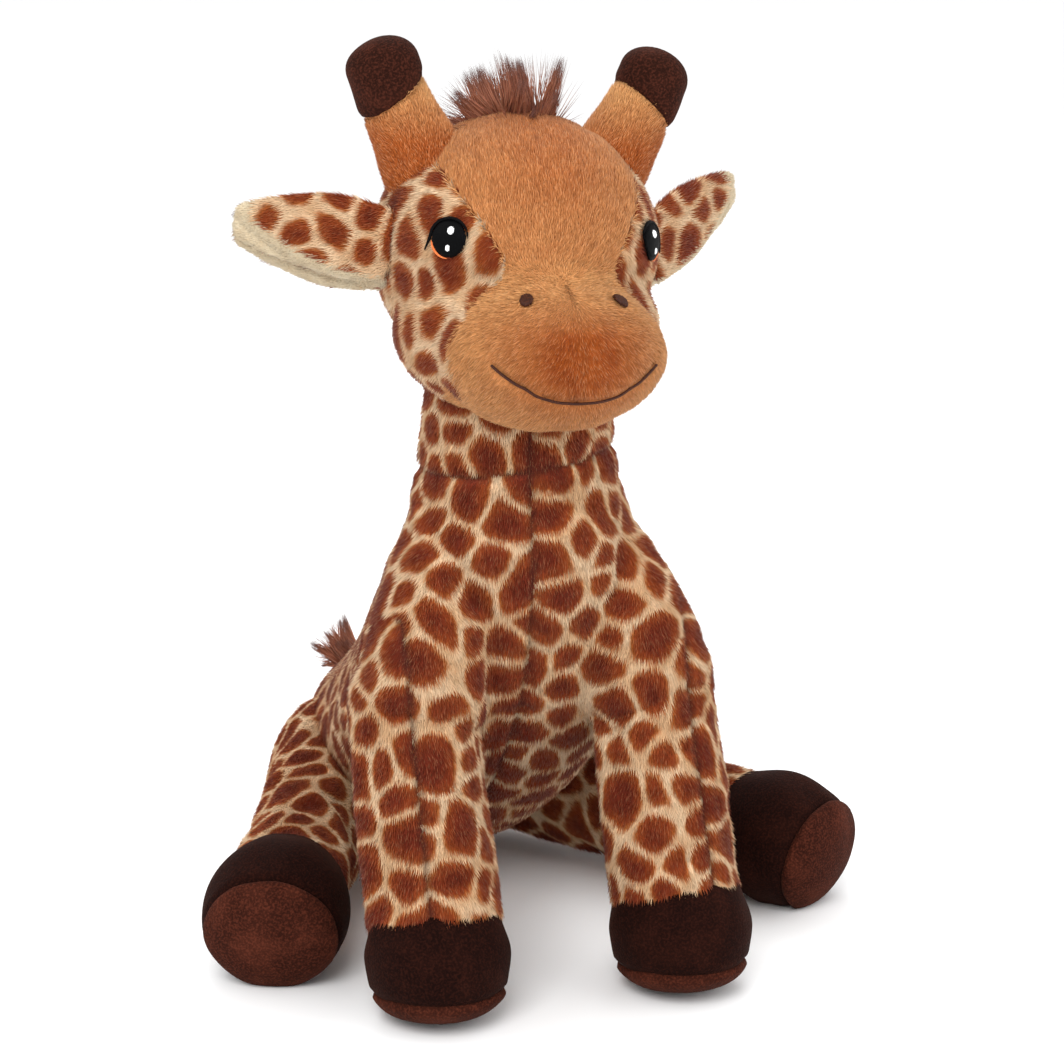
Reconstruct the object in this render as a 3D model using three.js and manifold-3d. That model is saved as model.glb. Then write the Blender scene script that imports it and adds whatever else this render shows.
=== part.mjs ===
// A plush giraffe that sits like a dog, sewn from pile fabric and stuffed.
// Millimetres, +Z up. The origin is the middle of the seat on the floor, the giraffe faces -Y
// and its left side is +X. "forward" is the distance towards the face, so y = -forward.
import * as THREE from 'three';
import { mergeVertices } from 'three/addons/utils/BufferGeometryUtils.js';
import Module from 'manifold-3d';

const wasm = await Module();
wasm.setup();

// Clearances, walls and cutting blocks
const gap = 0.3; // between pieces that touch
const sweepGap = 0.55; // between a limb that has turned and the torso
const sweepSteps = 4; // turned places of a limb that the torso is cut clear of
const plushWall = 3; // backing cloth with its pile lying down
const velourWall = 2; // short brown velour
const overrun = 12; // how far a cutting shape runs past what it cuts
const cutSize = 600; // side of the blocks that cut along a plane

// Torso: one stuffed tube from the rump up to the neck, as stations along its middle line
const torso = {
  rump: { forward: 0, height: 44.3, halfWidth: 47, halfDepth: 46.5 },
  loin: { forward: 40, height: 62, halfWidth: 50, halfDepth: 49 },
  belly: { forward: 84, height: 88, halfWidth: 52, halfDepth: 49 },
  chest: { forward: 121, height: 121, halfWidth: 53, halfDepth: 45 },
  shoulder: { forward: 136, height: 150, halfWidth: 48, halfDepth: 41 },
  throat: { forward: 137, height: 176, halfWidth: 40, halfDepth: 38 },
  neck: { forward: 138, height: 204, halfWidth: 35.5, halfDepth: 35.5 },
  neckTop: { forward: 138, height: 230, halfWidth: 33.5, halfDepth: 33.5 },
};
const rumpDome = 42;
const neckDome = 6;

// Front legs: each turns in a ball at the shoulder and stands on a puffy sole
const frontLeg = {
  aside: 44.5, // from the middle plane to the middle of a leg
  hip: { forward: 156, height: 106, halfWidth: 24, halfDepth: 24 },
  knee: { forward: 167, height: 74, halfWidth: 24.5, halfDepth: 24 },
  ankle: { forward: 181.5, height: 33.5, halfWidth: 24.5, halfDepth: 24 },
  hoofTop: { halfWidth: 23.6, halfDepth: 23.2 },
  hoof: { forward: 184.5, height: 23, halfWidth: 26, halfDepth: 27 },
  sole: { forward: 186, height: 10.5, halfWidth: 24, halfDepth: 26 },
  soleBulge: 11,
  splayRightAngle: 0, // degrees from straight ahead
  splayLeftAngle: 4,
  swingAngle: 25, // degrees forward from rest
};
// The soft lobe of the torso that wraps the top of each front leg
const lobe = {
  top: { aside: 30, forward: 138, height: 148, halfWidth: 20, halfDepth: 30 },
  middle: { aside: 37.5, forward: 149, height: 126, halfWidth: 24, halfDepth: 30 },
  rim: { aside: 42.5, forward: 156, height: 107, halfWidth: 25.5, halfDepth: 27 },
  topDome: 14,
};

// Hind legs: each lies forward along the floor from a ball at the hip and is splayed outwards
const hindLeg = {
  aside: 36,
  hip: { forward: 4, height: 35, halfWidth: 26, halfDepth: 33 },
  thigh: { forward: 44, height: 31, halfWidth: 24.5, halfDepth: 29.5 },
  shank: { forward: 86, height: 27, halfWidth: 23.5, halfDepth: 26 },
  ankle: { forward: 121, height: 25, halfWidth: 24, halfDepth: 24 },
  hoofTop: { halfWidth: 23, halfDepth: 23 },
  hoof: { forward: 138, height: 24, halfWidth: 27, halfDepth: 26.5 },
  sole: { forward: 153, height: 21, halfWidth: 25.5, halfDepth: 23 },
  soleBulge: 11,
  splayRightAngle: 23,
  splayLeftAngle: 37,
  swingAngle: 20,
};

// Head: an egg, a round muzzle and a jaw, placed from the top of the neck
const head = {
  forwardOfNeck: 4,
  aboveNeck: 32,
  yawAngle: 4.5, // degrees, turned towards the giraffe's left
  rollAngle: 3.5, // degrees, its left side lower
  egg: { forward: -4, above: 2, halfWidth: 52.5, halfLength: 47, halfHeight: 49 },
  muzzle: { forward: 32, above: -30, halfWidth: 43.5, halfLength: 32, halfHeight: 29 },
  jaw: { forward: 10, above: -24, halfWidth: 50, halfLength: 38, halfHeight: 35 },
};
// The plain face seen from the front: its edge, as distances aside of and above the head's middle
const faceEdge = {
  crown: { aside: 30, above: 62 },
  horn: { aside: 38, above: 44 },
  temple: { aside: 35, above: 26 },
  brow: { aside: 27.5, above: 13 },
  nose: { aside: 20.5, above: -1 },
  cheek: { aside: 29, above: -10.5 },
  muzzleTop: { aside: 38.5, above: -22 },
  muzzle: { aside: 40, above: -34 },
  jaw: { aside: 31, above: -49 },
  chin: { aside: 20, above: -62 },
};
const faceSteps = 30; // points along that edge
// How far in front of the head's middle the plain panels start: over the crown, and under the chin
const faceFrom = { crown: -12, chin: 12 };
const noseSeamAbove = -4; // where the forehead gusset meets the muzzle halves

const eye = { aside: 36.5, above: 8, radius: 7, thickness: 2.2 };
const glint = { radius: 1.5, thickness: 0.5, aside: 1, above: 2.4 };
const eyelid = { radius: 0.8, reach: 8.6, fromAngle: 25, toAngle: 200, pointCount: 7 };
const nostril = { aside: 17, above: -10.5, halfWidth: 1.7, halfHeight: 2.9, thickness: 1.2, leanAngle: 18 };
const mouth = { aside: 30, endAbove: -31, middleAbove: -43, radius: 0.7, pointCount: 11 };

const horn = {
  base: { aside: 32.5, above: 27, radius: 16 },
  middle: { aside: 45, above: 49, radius: 13.4 },
  tip: { aside: 51, above: 63, radius: 13 },
  behind: 9,
  tipDome: 10,
  capShare: 0.74,
  capTiltAngle: 14, // degrees, the outer side of the cap lower
};
// Ears: a leaf folded along its top edge, spotted outside, the pale lining showing below
const ear = {
  aside: 51,
  above: 1,
  behind: 2,
  root: { along: 0, halfThickness: 6, halfHeight: 16 },
  middle: { along: 18, halfThickness: 7.5, halfHeight: 17.5 },
  outer: { along: 36, halfThickness: 6.5, halfHeight: 13.5 },
  tip: { along: 47, halfThickness: 5, halfHeight: 9.5 },
  rootDome: 5,
  tipDome: 6,
  sweepAngle: 29, // degrees that the ear points backwards
  liftRightAngle: 6,
  liftLeftAngle: 25,
  liningDrop: 7, // the lining starts this far below the middle at the root
  liningSlopeAngle: 20, // degrees that its edge rises towards the tip
  swingAngle: 25,
};

// Hair: a forelock, a mane down the back of head and neck, and the tail's tuft, all of tapered locks
const forelock = { behind: 14, halfWidth: 17, halfLength: 15, halfHeight: 10, riseShare: 0.89, lockCount: 26 };
const lock = { length: 20, radius: 2.8, sides: 3, footShare: 0.6, spread: 0.85 };
const mane = { halfWidth: 4.5, halfHeight: 4, lockCount: 12, lockLength: 10 };
// In degrees over the back of the head from its top
const crownMane = { fromAngle: 50, toAngle: 112, pointCount: 4 };
const tail = {
  root: { aside: 0, forward: -43, height: 58 },
  bend: { aside: -3, forward: -57, height: 59 },
  end: { aside: -11, forward: -58, height: 63 },
  radius: 4.5,
  tuftRadius: 7,
  tuftLength: 10,
  lockCount: 22,
  lockLength: 14,
  swingAngle: 15,
};

// How finely the forms are faceted
const around = { torsoSides: 20, hollowSides: 12, headSides: 20, limbSides: 12, smallSides: 9, cordSides: 6 };
const along = { torsoSteps: 10, limbSteps: 5, smallSteps: 3, domeSteps: 3 };

const colours = {
  spots: 0x9a5a35,
  tan: 0xc98a52,
  orange: 0xb8692f,
  velour: 0x4a2118,
  sole: 0x5e2c1e,
  cream: 0xe9dcc0,
  thread: 0x0d0c0d,
  white: 0xf5f5f2,
  nostril: 0x5a2a1c,
  hair: 0x8a4c38,
  filling: 0xf1efe8,
};
const materials = Object.fromEntries(Object.entries(colours).map(([name, color]) => [
  name,
  new THREE.MeshStandardMaterial({ color, roughness: name === 'thread' ? 0.45 : 0.9, metalness: 0 }),
]));

const X = new THREE.Vector3(1, 0, 0);
const Y = new THREE.Vector3(0, 1, 0);
const Z = new THREE.Vector3(0, 0, 1);
const degree = Math.PI / 180;
const quarter = 90 * degree;
const place = (aside, forward, height) => new THREE.Vector3(aside, -forward, height);

// From geometry to solid and back
function solidOf(geometry) {
  const bare = geometry.clone();
  bare.deleteAttribute('normal');
  bare.deleteAttribute('uv');
  const merged = mergeVertices(bare);
  return new wasm.Manifold(new wasm.Mesh({
    numProp: 3,
    vertProperties: new Float32Array(merged.attributes.position.array),
    triVerts: new Uint32Array(merged.index.array),
  }));
}

function geometryOf(solid) {
  const { vertProperties, triVerts } = solid.getMesh();
  const geometry = new THREE.BufferGeometry();
  geometry.setAttribute('position', new THREE.BufferAttribute(vertProperties, 3));
  geometry.setIndex(new THREE.BufferAttribute(triVerts, 1));
  geometry.computeVertexNormals();
  return geometry;
}

const join = (...solids) => solids.reduce((sum, next) => sum.add(next));
const moved = (solid, matrix) => solid.transform([...matrix.elements]);

// The largest body of a solid, without the slivers that a cut has left beside it
const largest = (solid) => solid.decompose().sort((a, b) => b.volume() - a.volume())[0];

function turnAbout(point, axis, degrees) {
  return new THREE.Matrix4()
    .makeTranslation(point.x, point.y, point.z)
    .multiply(new THREE.Matrix4().makeRotationAxis(axis, degrees * degree))
    .multiply(new THREE.Matrix4().makeTranslation(-point.x, -point.y, -point.z));
}

// A stuffed form: elliptic rings along a smooth line through stations { at, halfWidth, halfDepth }.
// An end closes with a dome, or runs on flat by its reach. An inset makes the form smaller all round.
function stuffedForm(stations, { across = X, inset = 0, start, end, sides, steps }) {
  const line = new THREE.CatmullRomCurve3(stations.map((s) => s.at), false, 'centripetal');
  const sizes = new THREE.CatmullRomCurve3(
    stations.map((s) => new THREE.Vector3(s.halfWidth - inset, s.halfDepth - inset, 0)),
    false,
    'catmullrom',
  );
  const points = [];
  const addRing = ({ share, shift, scale }) => {
    const tangent = line.getTangent(share);
    const centre = line.getPoint(share).addScaledVector(tangent, shift);
    const size = sizes.getPoint(share).multiplyScalar(scale);
    const wide = across.clone().addScaledVector(tangent, -across.dot(tangent)).normalize();
    const deep = new THREE.Vector3().crossVectors(tangent, wide);
    for (let side = 0; side < sides; side += 1) {
      const angle = (side / sides) * 2 * Math.PI;
      points.push(centre.clone()
        .addScaledVector(wide, size.x * Math.cos(angle))
        .addScaledVector(deep, size.y * Math.sin(angle)));
    }
  };
  const endRings = (share, shape, direction) => {
    if (shape.dome === undefined) {
      return [{ share, shift: direction * shape.reach, scale: 1 }];
    }
    const list = Array.from({ length: along.domeSteps }, (_, k) => (k / along.domeSteps) * quarter)
      .map((angle) => ({
        share,
        shift: direction * (shape.dome - inset) * Math.sin(angle),
        scale: Math.cos(angle),
      }));
    return direction < 0 ? list.reverse() : list;
  };
  const between = Array.from({ length: steps - 1 }, (_, k) => (
    { share: (k + 1) / steps, shift: 0, scale: 1 }
  ));
  const plan = [...endRings(0, start, -1), ...between, ...endRings(1, end, 1)];
  plan.forEach(addRing);
  const addPole = (share, shape, direction) => {
    const shift = shape.dome === undefined ? shape.reach : shape.dome - inset;
    points.push(line.getPoint(share).addScaledVector(line.getTangent(share), direction * shift));
    return points.length - 1;
  };
  const startPole = addPole(0, start, -1);
  const endPole = addPole(1, end, 1);
  const faces = [];
  const last = (plan.length - 1) * sides;
  for (let side = 0; side < sides; side += 1) {
    const next = (side + 1) % sides;
    faces.push(startPole, next, side);
    faces.push(endPole, last + side, last + next);
    for (let ring = 0; ring < plan.length - 1; ring += 1) {
      const low = ring * sides;
      const high = low + sides;
      faces.push(low + side, low + next, high + next, low + side, high + next, high + side);
    }
  }
  const geometry = new THREE.BufferGeometry().setFromPoints(points);
  geometry.setIndex(faces);
  return solidOf(geometry);
}

// An egg with half sizes along X, Y and Z
function egg(middle, half, sides) {
  const geometry = new THREE.SphereGeometry(1, sides, Math.round(sides / 2));
  geometry.rotateX(quarter);
  geometry.scale(half.x, half.y, half.z);
  geometry.translate(middle.x, middle.y, middle.z);
  return solidOf(geometry);
}

// Everything on the side of a plane that its normal points to
function halfSpace(point, normal) {
  const geometry = new THREE.BoxGeometry(cutSize, cutSize, cutSize);
  geometry.translate(0, 0, cutSize / 2);
  geometry.applyQuaternion(new THREE.Quaternion().setFromUnitVectors(Z, normal.clone().normalize()));
  geometry.translate(point.x, point.y, point.z);
  return solidOf(geometry);
}

// What is left of a moving piece that keeps clear of an obstacle, by a little more once it has turned
function trimmed(solid, obstacle, looser, pivot, axis, angles) {
  return angles.reduce(
    (rest, angle) => rest.subtract(moved(looser, turnAbout(pivot, axis, -angle))),
    solid.subtract(obstacle),
  );
}

function addNode(parent, name, solid, material) {
  const mesh = new THREE.Mesh(geometryOf(solid), material);
  mesh.name = name;
  parent.add(mesh);
}

// Tapered locks that stand out of a rounded base, in a spiral over its cap
function locksOver(middle, half, up, count, length, radius) {
  const turn = new THREE.Quaternion().setFromUnitVectors(Z, up.clone().normalize());
  const golden = Math.PI * (3 - Math.sqrt(5));
  return Array.from({ length: count }, (_, k) => {
    const rise = 1 - (lock.spread * (k + 0.5)) / count;
    const level = Math.sqrt(1 - rise * rise);
    const out = new THREE.Vector3(level * Math.cos(k * golden), level * Math.sin(k * golden), rise);
    out.applyQuaternion(turn);
    const geometry = new THREE.ConeGeometry(radius, length, lock.sides);
    geometry.translate(0, length / 2, 0);
    geometry.applyQuaternion(new THREE.Quaternion().setFromUnitVectors(Y, out));
    const foot = out.clone().multiply(half).multiplyScalar(lock.footShare).add(middle);
    geometry.translate(foot.x, foot.y, foot.z);
    return solidOf(geometry);
  });
}

// Torso
const torsoStations = Object.values(torso).map((s) => ({ ...s, at: place(0, s.forward, s.height) }));

function lobeForm(side, inset) {
  const stations = [lobe.top, lobe.middle, lobe.rim]
    .map((s) => ({ ...s, at: place(side * s.aside, s.forward, s.height) }));
  return stuffedForm(stations, {
    inset,
    start: { dome: lobe.topDome },
    end: { reach: -inset },
    sides: around.limbSides,
    steps: along.smallSteps,
  });
}

function torsoForm(inset, end = { dome: neckDome }, sides = around.torsoSides) {
  const tube = stuffedForm(torsoStations, {
    inset,
    start: { dome: rumpDome },
    end,
    sides,
    steps: along.torsoSteps,
  });
  return join(tube, lobeForm(1, inset), lobeForm(-1, inset));
}

// A limb of either kind: its frame has the hip joint's middle as origin
function limbStations(limb, names) {
  return names.map((name) => ({
    ...limb[name],
    at: place(0, limb[name].forward - limb.hip.forward, limb[name].height - limb.hip.height),
  }));
}

function limbParts(limb, legNames) {
  const legStations = limbStations(limb, legNames);
  const hoofTop = { ...limb.ankle, ...limb.hoofTop };
  const hoofStations = limbStations({ ...limb, ankle: hoofTop }, ['ankle', 'hoof', 'sole']);
  const leg = (inset, reach, sides = around.limbSides) => stuffedForm(legStations, {
    sides, steps: along.limbSteps, inset, start: { dome: limb.hip.halfWidth }, end: { reach },
  });
  const hoof = (inset, reach, sides = around.limbSides) => stuffedForm(hoofStations, {
    sides, steps: along.smallSteps, inset, start: { reach }, end: { dome: limb.soleBulge },
  });
  const hoofLine = new THREE.CatmullRomCurve3(hoofStations.map((s) => s.at), false, 'centripetal');
  const ankle = hoofLine.getPoint(0);
  const sole = hoofLine.getPoint(1);
  const down = hoofLine.getTangent(0);
  const out = hoofLine.getTangent(1);
  const at = (point, direction, shift) => point.clone().addScaledVector(direction, shift);
  const above = (point, direction, shift) => (
    halfSpace(at(point, direction, -shift), direction.clone().negate())
  );
  const below = (point, direction, shift) => halfSpace(at(point, direction, shift), direction);
  const filling = join(
    leg(plushWall + gap, overrun, around.smallSides).intersect(above(ankle, down, -gap)),
    hoof(velourWall + gap, overrun / 2, around.smallSides).intersect(below(ankle, down, 0)),
  ).intersect(above(sole, out, gap));
  return {
    cover: leg(0, overrun)
      .intersect(above(ankle, down, gap / 2))
      .subtract(leg(plushWall, 2 * overrun, around.smallSides)),
    hoof: hoof(0, overrun).intersect(below(ankle, down, gap / 2)).intersect(above(sole, out, 0)),
    hoofHollow: hoof(velourWall, 2 * overrun, around.smallSides),
    sole: hoof(0, overrun).intersect(below(sole, out, gap)),
    filling,
  };
}

const frontParts = limbParts(frontLeg, ['hip', 'knee', 'ankle']);
const hindParts = limbParts(hindLeg, ['hip', 'thigh', 'shank', 'ankle']);

function limbFrame(limb, side) {
  const frame = new THREE.Group();
  frame.position.copy(place(side * limb.aside, limb.hip.forward, limb.hip.height));
  frame.rotation.z = side * (side > 0 ? limb.splayLeftAngle : limb.splayRightAngle) * degree;
  frame.updateMatrix();
  return frame;
}

// The recess that a limb's ball turns in: its facets stay outside the true ball
function recess(limb, side, extra) {
  const outside = 1 / Math.cos(Math.PI / around.limbSides) ** 2;
  const half = new THREE.Vector3(limb.hip.halfWidth, limb.hip.halfWidth, limb.hip.halfDepth);
  if (limb === frontLeg) {
    half.z = limb.hip.halfWidth;
  }
  return egg(limbFrame(limb, side).position, half.addScalar(extra).multiplyScalar(outside), around.limbSides);
}

const recesses = (extra) => join(
  ...[1, -1].flatMap((side) => [recess(frontLeg, side, extra), recess(hindLeg, side, extra)]),
);
const toy = new THREE.Group();

// Torso: the cover, its filling, and the shape that the other pieces keep clear of
const torsoShape = torsoForm(0, { reach: 0 }).subtract(recesses(gap)).intersect(halfSpace(place(0, 0, 0), Z));
const torsoHollow = torsoForm(plushWall, { reach: overrun }, around.hollowSides)
  .subtract(recesses(gap + plushWall))
  .intersect(halfSpace(place(0, 0, plushWall), Z));
const torsoAround = (space) => torsoForm(-space).subtract(recesses(gap - space));
const torsoClear = torsoAround(gap);
const torsoLoose = torsoAround(sweepGap);
const torsoFilling = torsoForm(plushWall + gap, { dome: neckDome + plushWall + gap }, around.hollowSides)
  .subtract(recesses(2 * gap + plushWall))
  .intersect(halfSpace(place(0, 0, plushWall + gap), Z));
addNode(toy, 'torso_cover', torsoShape.subtract(torsoHollow), materials.spots);
addNode(toy, 'torso_filling', torsoFilling, materials.filling);

// Legs: each in the frame of its own joint, cut by the torso over the whole swing
function addLimb(limb, side, names, parts, axis, angles) {
  const frame = limbFrame(limb, side);
  const inverse = frame.matrix.clone().invert();
  const [tight, loose] = [torsoClear, torsoLoose].map((solid) => moved(solid, inverse));
  const onFloor = (solid, height = 0) => solid.intersect(moved(halfSpace(place(0, 0, height), Z), inverse));
  const origin = place(0, 0, 0);
  const where = side > 0 ? 'left' : 'right';
  const cover = trimmed(parts.cover, tight, loose, origin, axis, angles);
  const filling = trimmed(parts.filling, tight, loose, origin, axis, angles);
  const hoof = parts.hoof.subtract(onFloor(parts.hoofHollow, velourWall));
  addNode(frame, `${names}_leg_cover_${where}`, onFloor(cover), materials.spots);
  addNode(frame, `${names}_leg_filling_${where}`, onFloor(filling, velourWall + gap), materials.filling);
  addNode(frame, `${names}_hoof_${where}`, onFloor(hoof), materials.velour);
  addNode(frame, `${names}_sole_${where}`, onFloor(parts.sole), materials.sole);
  toy.add(frame);
}

const sweep = (range) => Array.from({ length: sweepSteps }, (_, k) => (range * (k + 1)) / sweepSteps);

for (const side of [1, -1]) {
  addLimb(frontLeg, side, 'front', frontParts, X, sweep(-frontLeg.swingAngle));
  addLimb(hindLeg, side, 'hind', hindParts, Z, sweep(side * hindLeg.swingAngle));
}

// Head: its frame sits at the middle of the egg, turned and tilted
const headFrame = new THREE.Group();
headFrame.position.copy(
  place(0, torso.neckTop.forward + head.forwardOfNeck, torso.neckTop.height + head.aboveNeck),
);
headFrame.rotation.set(0, head.rollAngle * degree, head.yawAngle * degree, 'ZYX');
headFrame.updateMatrix();
const headInverse = headFrame.matrix.clone().invert();
toy.add(headFrame);

const headEggs = [head.egg, head.muzzle, head.jaw];
const headForm = (inset, sides = around.headSides) => join(...headEggs.map((part) => egg(
  place(0, part.forward, part.above),
  new THREE.Vector3(part.halfWidth, part.halfLength, part.halfHeight).addScalar(-inset),
  sides,
)));
// The neck's top is round, so a socket outside its corners lets the head turn on it
const neckCorners = torso.neck.halfWidth * (1 / Math.cos(Math.PI / around.torsoSides) - 1);
const neckStations = [torso.throat, torso.neck, torso.neckTop]
  .map((s) => ({ ...s, at: place(0, s.forward, s.height) }));
const socket = moved(stuffedForm(neckStations, {
  inset: -(gap + neckCorners),
  start: { reach: 0 },
  end: { dome: neckDome },
  sides: around.torsoSides,
  steps: along.smallSteps,
}), headInverse);
const aroundNeck = (solid) => solid.subtract(socket);
const headShell = aroundNeck(headForm(0).subtract(headForm(plushWall, around.hollowSides)));
const headClear = headForm(-gap);

// The plain face: a forehead gusset and two muzzle halves inside one edge
function faceRegion(shrink) {
  const edge = Object.values(faceEdge).map((p) => new THREE.Vector2(p.aside - shrink, p.above));
  const mirrored = edge.toReversed().map((p) => new THREE.Vector2(-p.x, p.y));
  const outline = new THREE.SplineCurve([...edge, ...mirrored, edge[0]]).getPoints(faceSteps);
  const geometry = new THREE.ExtrudeGeometry(new THREE.Shape(outline.slice(0, -1)), {
    depth: cutSize,
    bevelEnabled: false,
  });
  geometry.rotateX(quarter);
  geometry.translate(0, -faceFrom.crown - shrink, 0);
  const behindChin = halfSpace(place(0, faceFrom.chin + shrink, 0), Y)
    .intersect(halfSpace(place(0, 0, noseSeamAbove + shrink), Z.clone().negate()));
  return solidOf(geometry).subtract(behindChin);
}

const facePanels = headShell.intersect(faceRegion(gap));
const seamAt = (shift) => place(0, 0, noseSeamAbove + shift);
const muzzlePanels = facePanels.intersect(halfSpace(seamAt(-gap / 2), Z.clone().negate()));
addNode(headFrame, 'head_cover', headShell.subtract(faceRegion(0)), materials.spots);
addNode(headFrame, 'forehead_panel', facePanels.intersect(halfSpace(seamAt(gap / 2), Z)), materials.tan);
for (const side of [1, -1]) {
  const half = muzzlePanels.intersect(halfSpace(place((side * gap) / 2, 0, 0), place(side, 0, 0)));
  addNode(headFrame, `muzzle_panel_${side > 0 ? 'left' : 'right'}`, half, materials.orange);
}
const headFilling = aroundNeck(headForm(plushWall + gap, around.hollowSides));
addNode(headFrame, 'head_filling', headFilling, materials.filling);

// A frame on the head's surface in front of a place aside of and above its middle: Z points out
function faceFrame(aside, above, out, lean = 0) {
  const found = headEggs.map((part) => {
    const up = (above - part.above) / part.halfHeight;
    const across = aside / part.halfWidth;
    const forward = part.halfLength * Math.sqrt(1 - up * up - across * across);
    const normal = place(across / part.halfWidth, forward / part.halfLength ** 2, up / part.halfHeight);
    return { at: place(aside, part.forward + forward, above), normal: normal.normalize() };
  }).filter((spot) => spot.at.y < 0).sort((a, b) => a.at.y - b.at.y)[0];
  const side = new THREE.Vector3().crossVectors(Z, found.normal).normalize();
  const up = new THREE.Vector3().crossVectors(found.normal, side);
  const matrix = new THREE.Matrix4().makeBasis(side, up, found.normal);
  matrix.setPosition(found.at.addScaledVector(found.normal, out));
  return matrix.multiply(new THREE.Matrix4().makeRotationZ(lean * degree));
}

// A thread or roll of embroidery along points in a frame
function thread(points, radius, matrix = new THREE.Matrix4()) {
  const section = new THREE.Shape().absarc(0, 0, radius, 0, 2 * Math.PI);
  const geometry = new THREE.ExtrudeGeometry(section, {
    steps: points.length - 1,
    curveSegments: around.cordSides / 2,
    bevelEnabled: false,
    extrudePath: new THREE.CatmullRomCurve3(points),
  });
  return moved(solidOf(geometry), matrix);
}

for (const side of [1, -1]) {
  const where = side > 0 ? 'left' : 'right';
  const onEye = faceFrame(side * eye.aside, eye.above, 0);
  const disc = egg(place(0, 0, 0), new THREE.Vector3(eye.radius, eye.radius, eye.thickness), around.limbSides);
  addNode(headFrame, `eye_${where}`, moved(disc, onEye).subtract(headClear), materials.thread);
  const spark = new THREE.CylinderGeometry(glint.radius, glint.radius, glint.thickness, around.smallSides);
  spark.rotateX(quarter);
  spark.translate(glint.aside, glint.above, eye.thickness + gap + glint.thickness / 2);
  addNode(headFrame, `eye_glint_${where}`, moved(solidOf(spark), onEye), materials.white);
  const lidPoints = Array.from({ length: eyelid.pointCount }, (_, k) => {
    const angle = (eyelid.fromAngle + ((eyelid.toAngle - eyelid.fromAngle) * k) / (eyelid.pointCount - 1)) * degree;
    const x = side > 0 ? -Math.cos(angle) : Math.cos(angle);
    return new THREE.Vector3(eyelid.reach * x, eyelid.reach * Math.sin(angle), 0);
  });
  const lid = thread(lidPoints, eyelid.radius, onEye).subtract(headClear).subtract(moved(disc, onEye));
  addNode(headFrame, `eyelid_${where}`, lid, materials.thread);
  const hole = egg(
    place(0, 0, 0),
    new THREE.Vector3(nostril.halfWidth, nostril.halfHeight, nostril.thickness),
    around.smallSides,
  );
  const onNose = faceFrame(side * nostril.aside, nostril.above, 0, side * nostril.leanAngle);
  addNode(headFrame, `nostril_${where}`, moved(hole, onNose).subtract(headClear), materials.nostril);
}

const mouthPoints = Array.from({ length: mouth.pointCount }, (_, k) => {
  const share = (2 * k) / (mouth.pointCount - 1) - 1;
  const above = mouth.middleAbove + (mouth.endAbove - mouth.middleAbove) * share * share;
  const frame = faceFrame(share * mouth.aside, above, mouth.radius / 2);
  return new THREE.Vector3().setFromMatrixPosition(frame);
});
addNode(headFrame, 'mouth_stitch', thread(mouthPoints, mouth.radius).subtract(headClear), materials.nostril);

// Horns with velour caps
for (const side of [1, -1]) {
  const where = side > 0 ? 'left' : 'right';
  const stations = [horn.base, horn.middle, horn.tip].map((s) => ({
    at: place(side * s.aside, -horn.behind, s.above), halfWidth: s.radius, halfDepth: s.radius,
  }));
  const whole = stuffedForm(stations, {
    start: { reach: 0 }, end: { dome: horn.tipDome }, sides: around.limbSides, steps: along.smallSteps,
  }).subtract(headClear);
  const axis = stations[2].at.clone().sub(stations[0].at).normalize();
  const seam = stations[0].at.clone().lerp(stations[2].at, horn.capShare);
  const tilt = side * horn.capTiltAngle * degree;
  const upwards = axis.clone().applyAxisAngle(Y, tilt);
  const shifted = (shift) => seam.clone().addScaledVector(upwards, shift);
  const cap = whole.intersect(halfSpace(shifted(gap / 2), upwards));
  const stem = whole.intersect(halfSpace(shifted(-gap / 2), upwards.clone().negate()));
  addNode(headFrame, `horn_${where}`, stem, materials.tan);
  addNode(headFrame, `horn_cap_${where}`, cap, materials.velour);
}

// Ears: each swings about the upright line where it is sewn to the head
for (const side of [1, -1]) {
  const where = side > 0 ? 'left' : 'right';
  const frame = new THREE.Group();
  frame.position.copy(place(side * ear.aside, -ear.behind, ear.above));
  const lift = side > 0 ? ear.liftLeftAngle : ear.liftRightAngle;
  frame.rotation.set(0, -side * lift * degree, side * ear.sweepAngle * degree, 'ZYX');
  frame.updateMatrix();
  const stations = [ear.root, ear.middle, ear.outer, ear.tip].map((s) => ({
    at: place(side * s.along, 0, 0), halfWidth: s.halfThickness, halfDepth: s.halfHeight,
  }));
  const leaf = stuffedForm(stations, {
    across: Y,
    start: { dome: ear.rootDome },
    end: { dome: ear.tipDome },
    sides: around.limbSides,
    steps: along.smallSteps,
  });
  const headHere = moved(headClear, frame.matrix.clone().invert());
  const clear = trimmed(leaf, headHere, headHere, place(0, 0, 0), Z, [ear.swingAngle, -ear.swingAngle]);
  const up = Z.clone().applyAxisAngle(Y, side * ear.liningSlopeAngle * degree);
  const edge = (shift) => place(0, 0, shift - ear.liningDrop);
  addNode(frame, `ear_${where}`, clear.intersect(halfSpace(edge(gap / 2), up)), materials.spots);
  const lining = clear.intersect(halfSpace(edge(-gap / 2), up.clone().negate()));
  addNode(frame, `ear_lining_${where}`, lining, materials.cream);
  headFrame.add(frame);
}

// Hair on the head and neck
const forelockMiddle = place(0, -forelock.behind, head.egg.above + head.egg.halfHeight * forelock.riseShare);
const forelockHalf = new THREE.Vector3(forelock.halfWidth, forelock.halfLength, forelock.halfHeight);
const forelockHair = join(
  egg(forelockMiddle, forelockHalf, around.smallSides),
  ...locksOver(forelockMiddle, forelockHalf, Z, forelock.lockCount, lock.length, lock.radius),
).subtract(headClear);
addNode(headFrame, 'forelock', largest(forelockHair), materials.hair);

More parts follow.
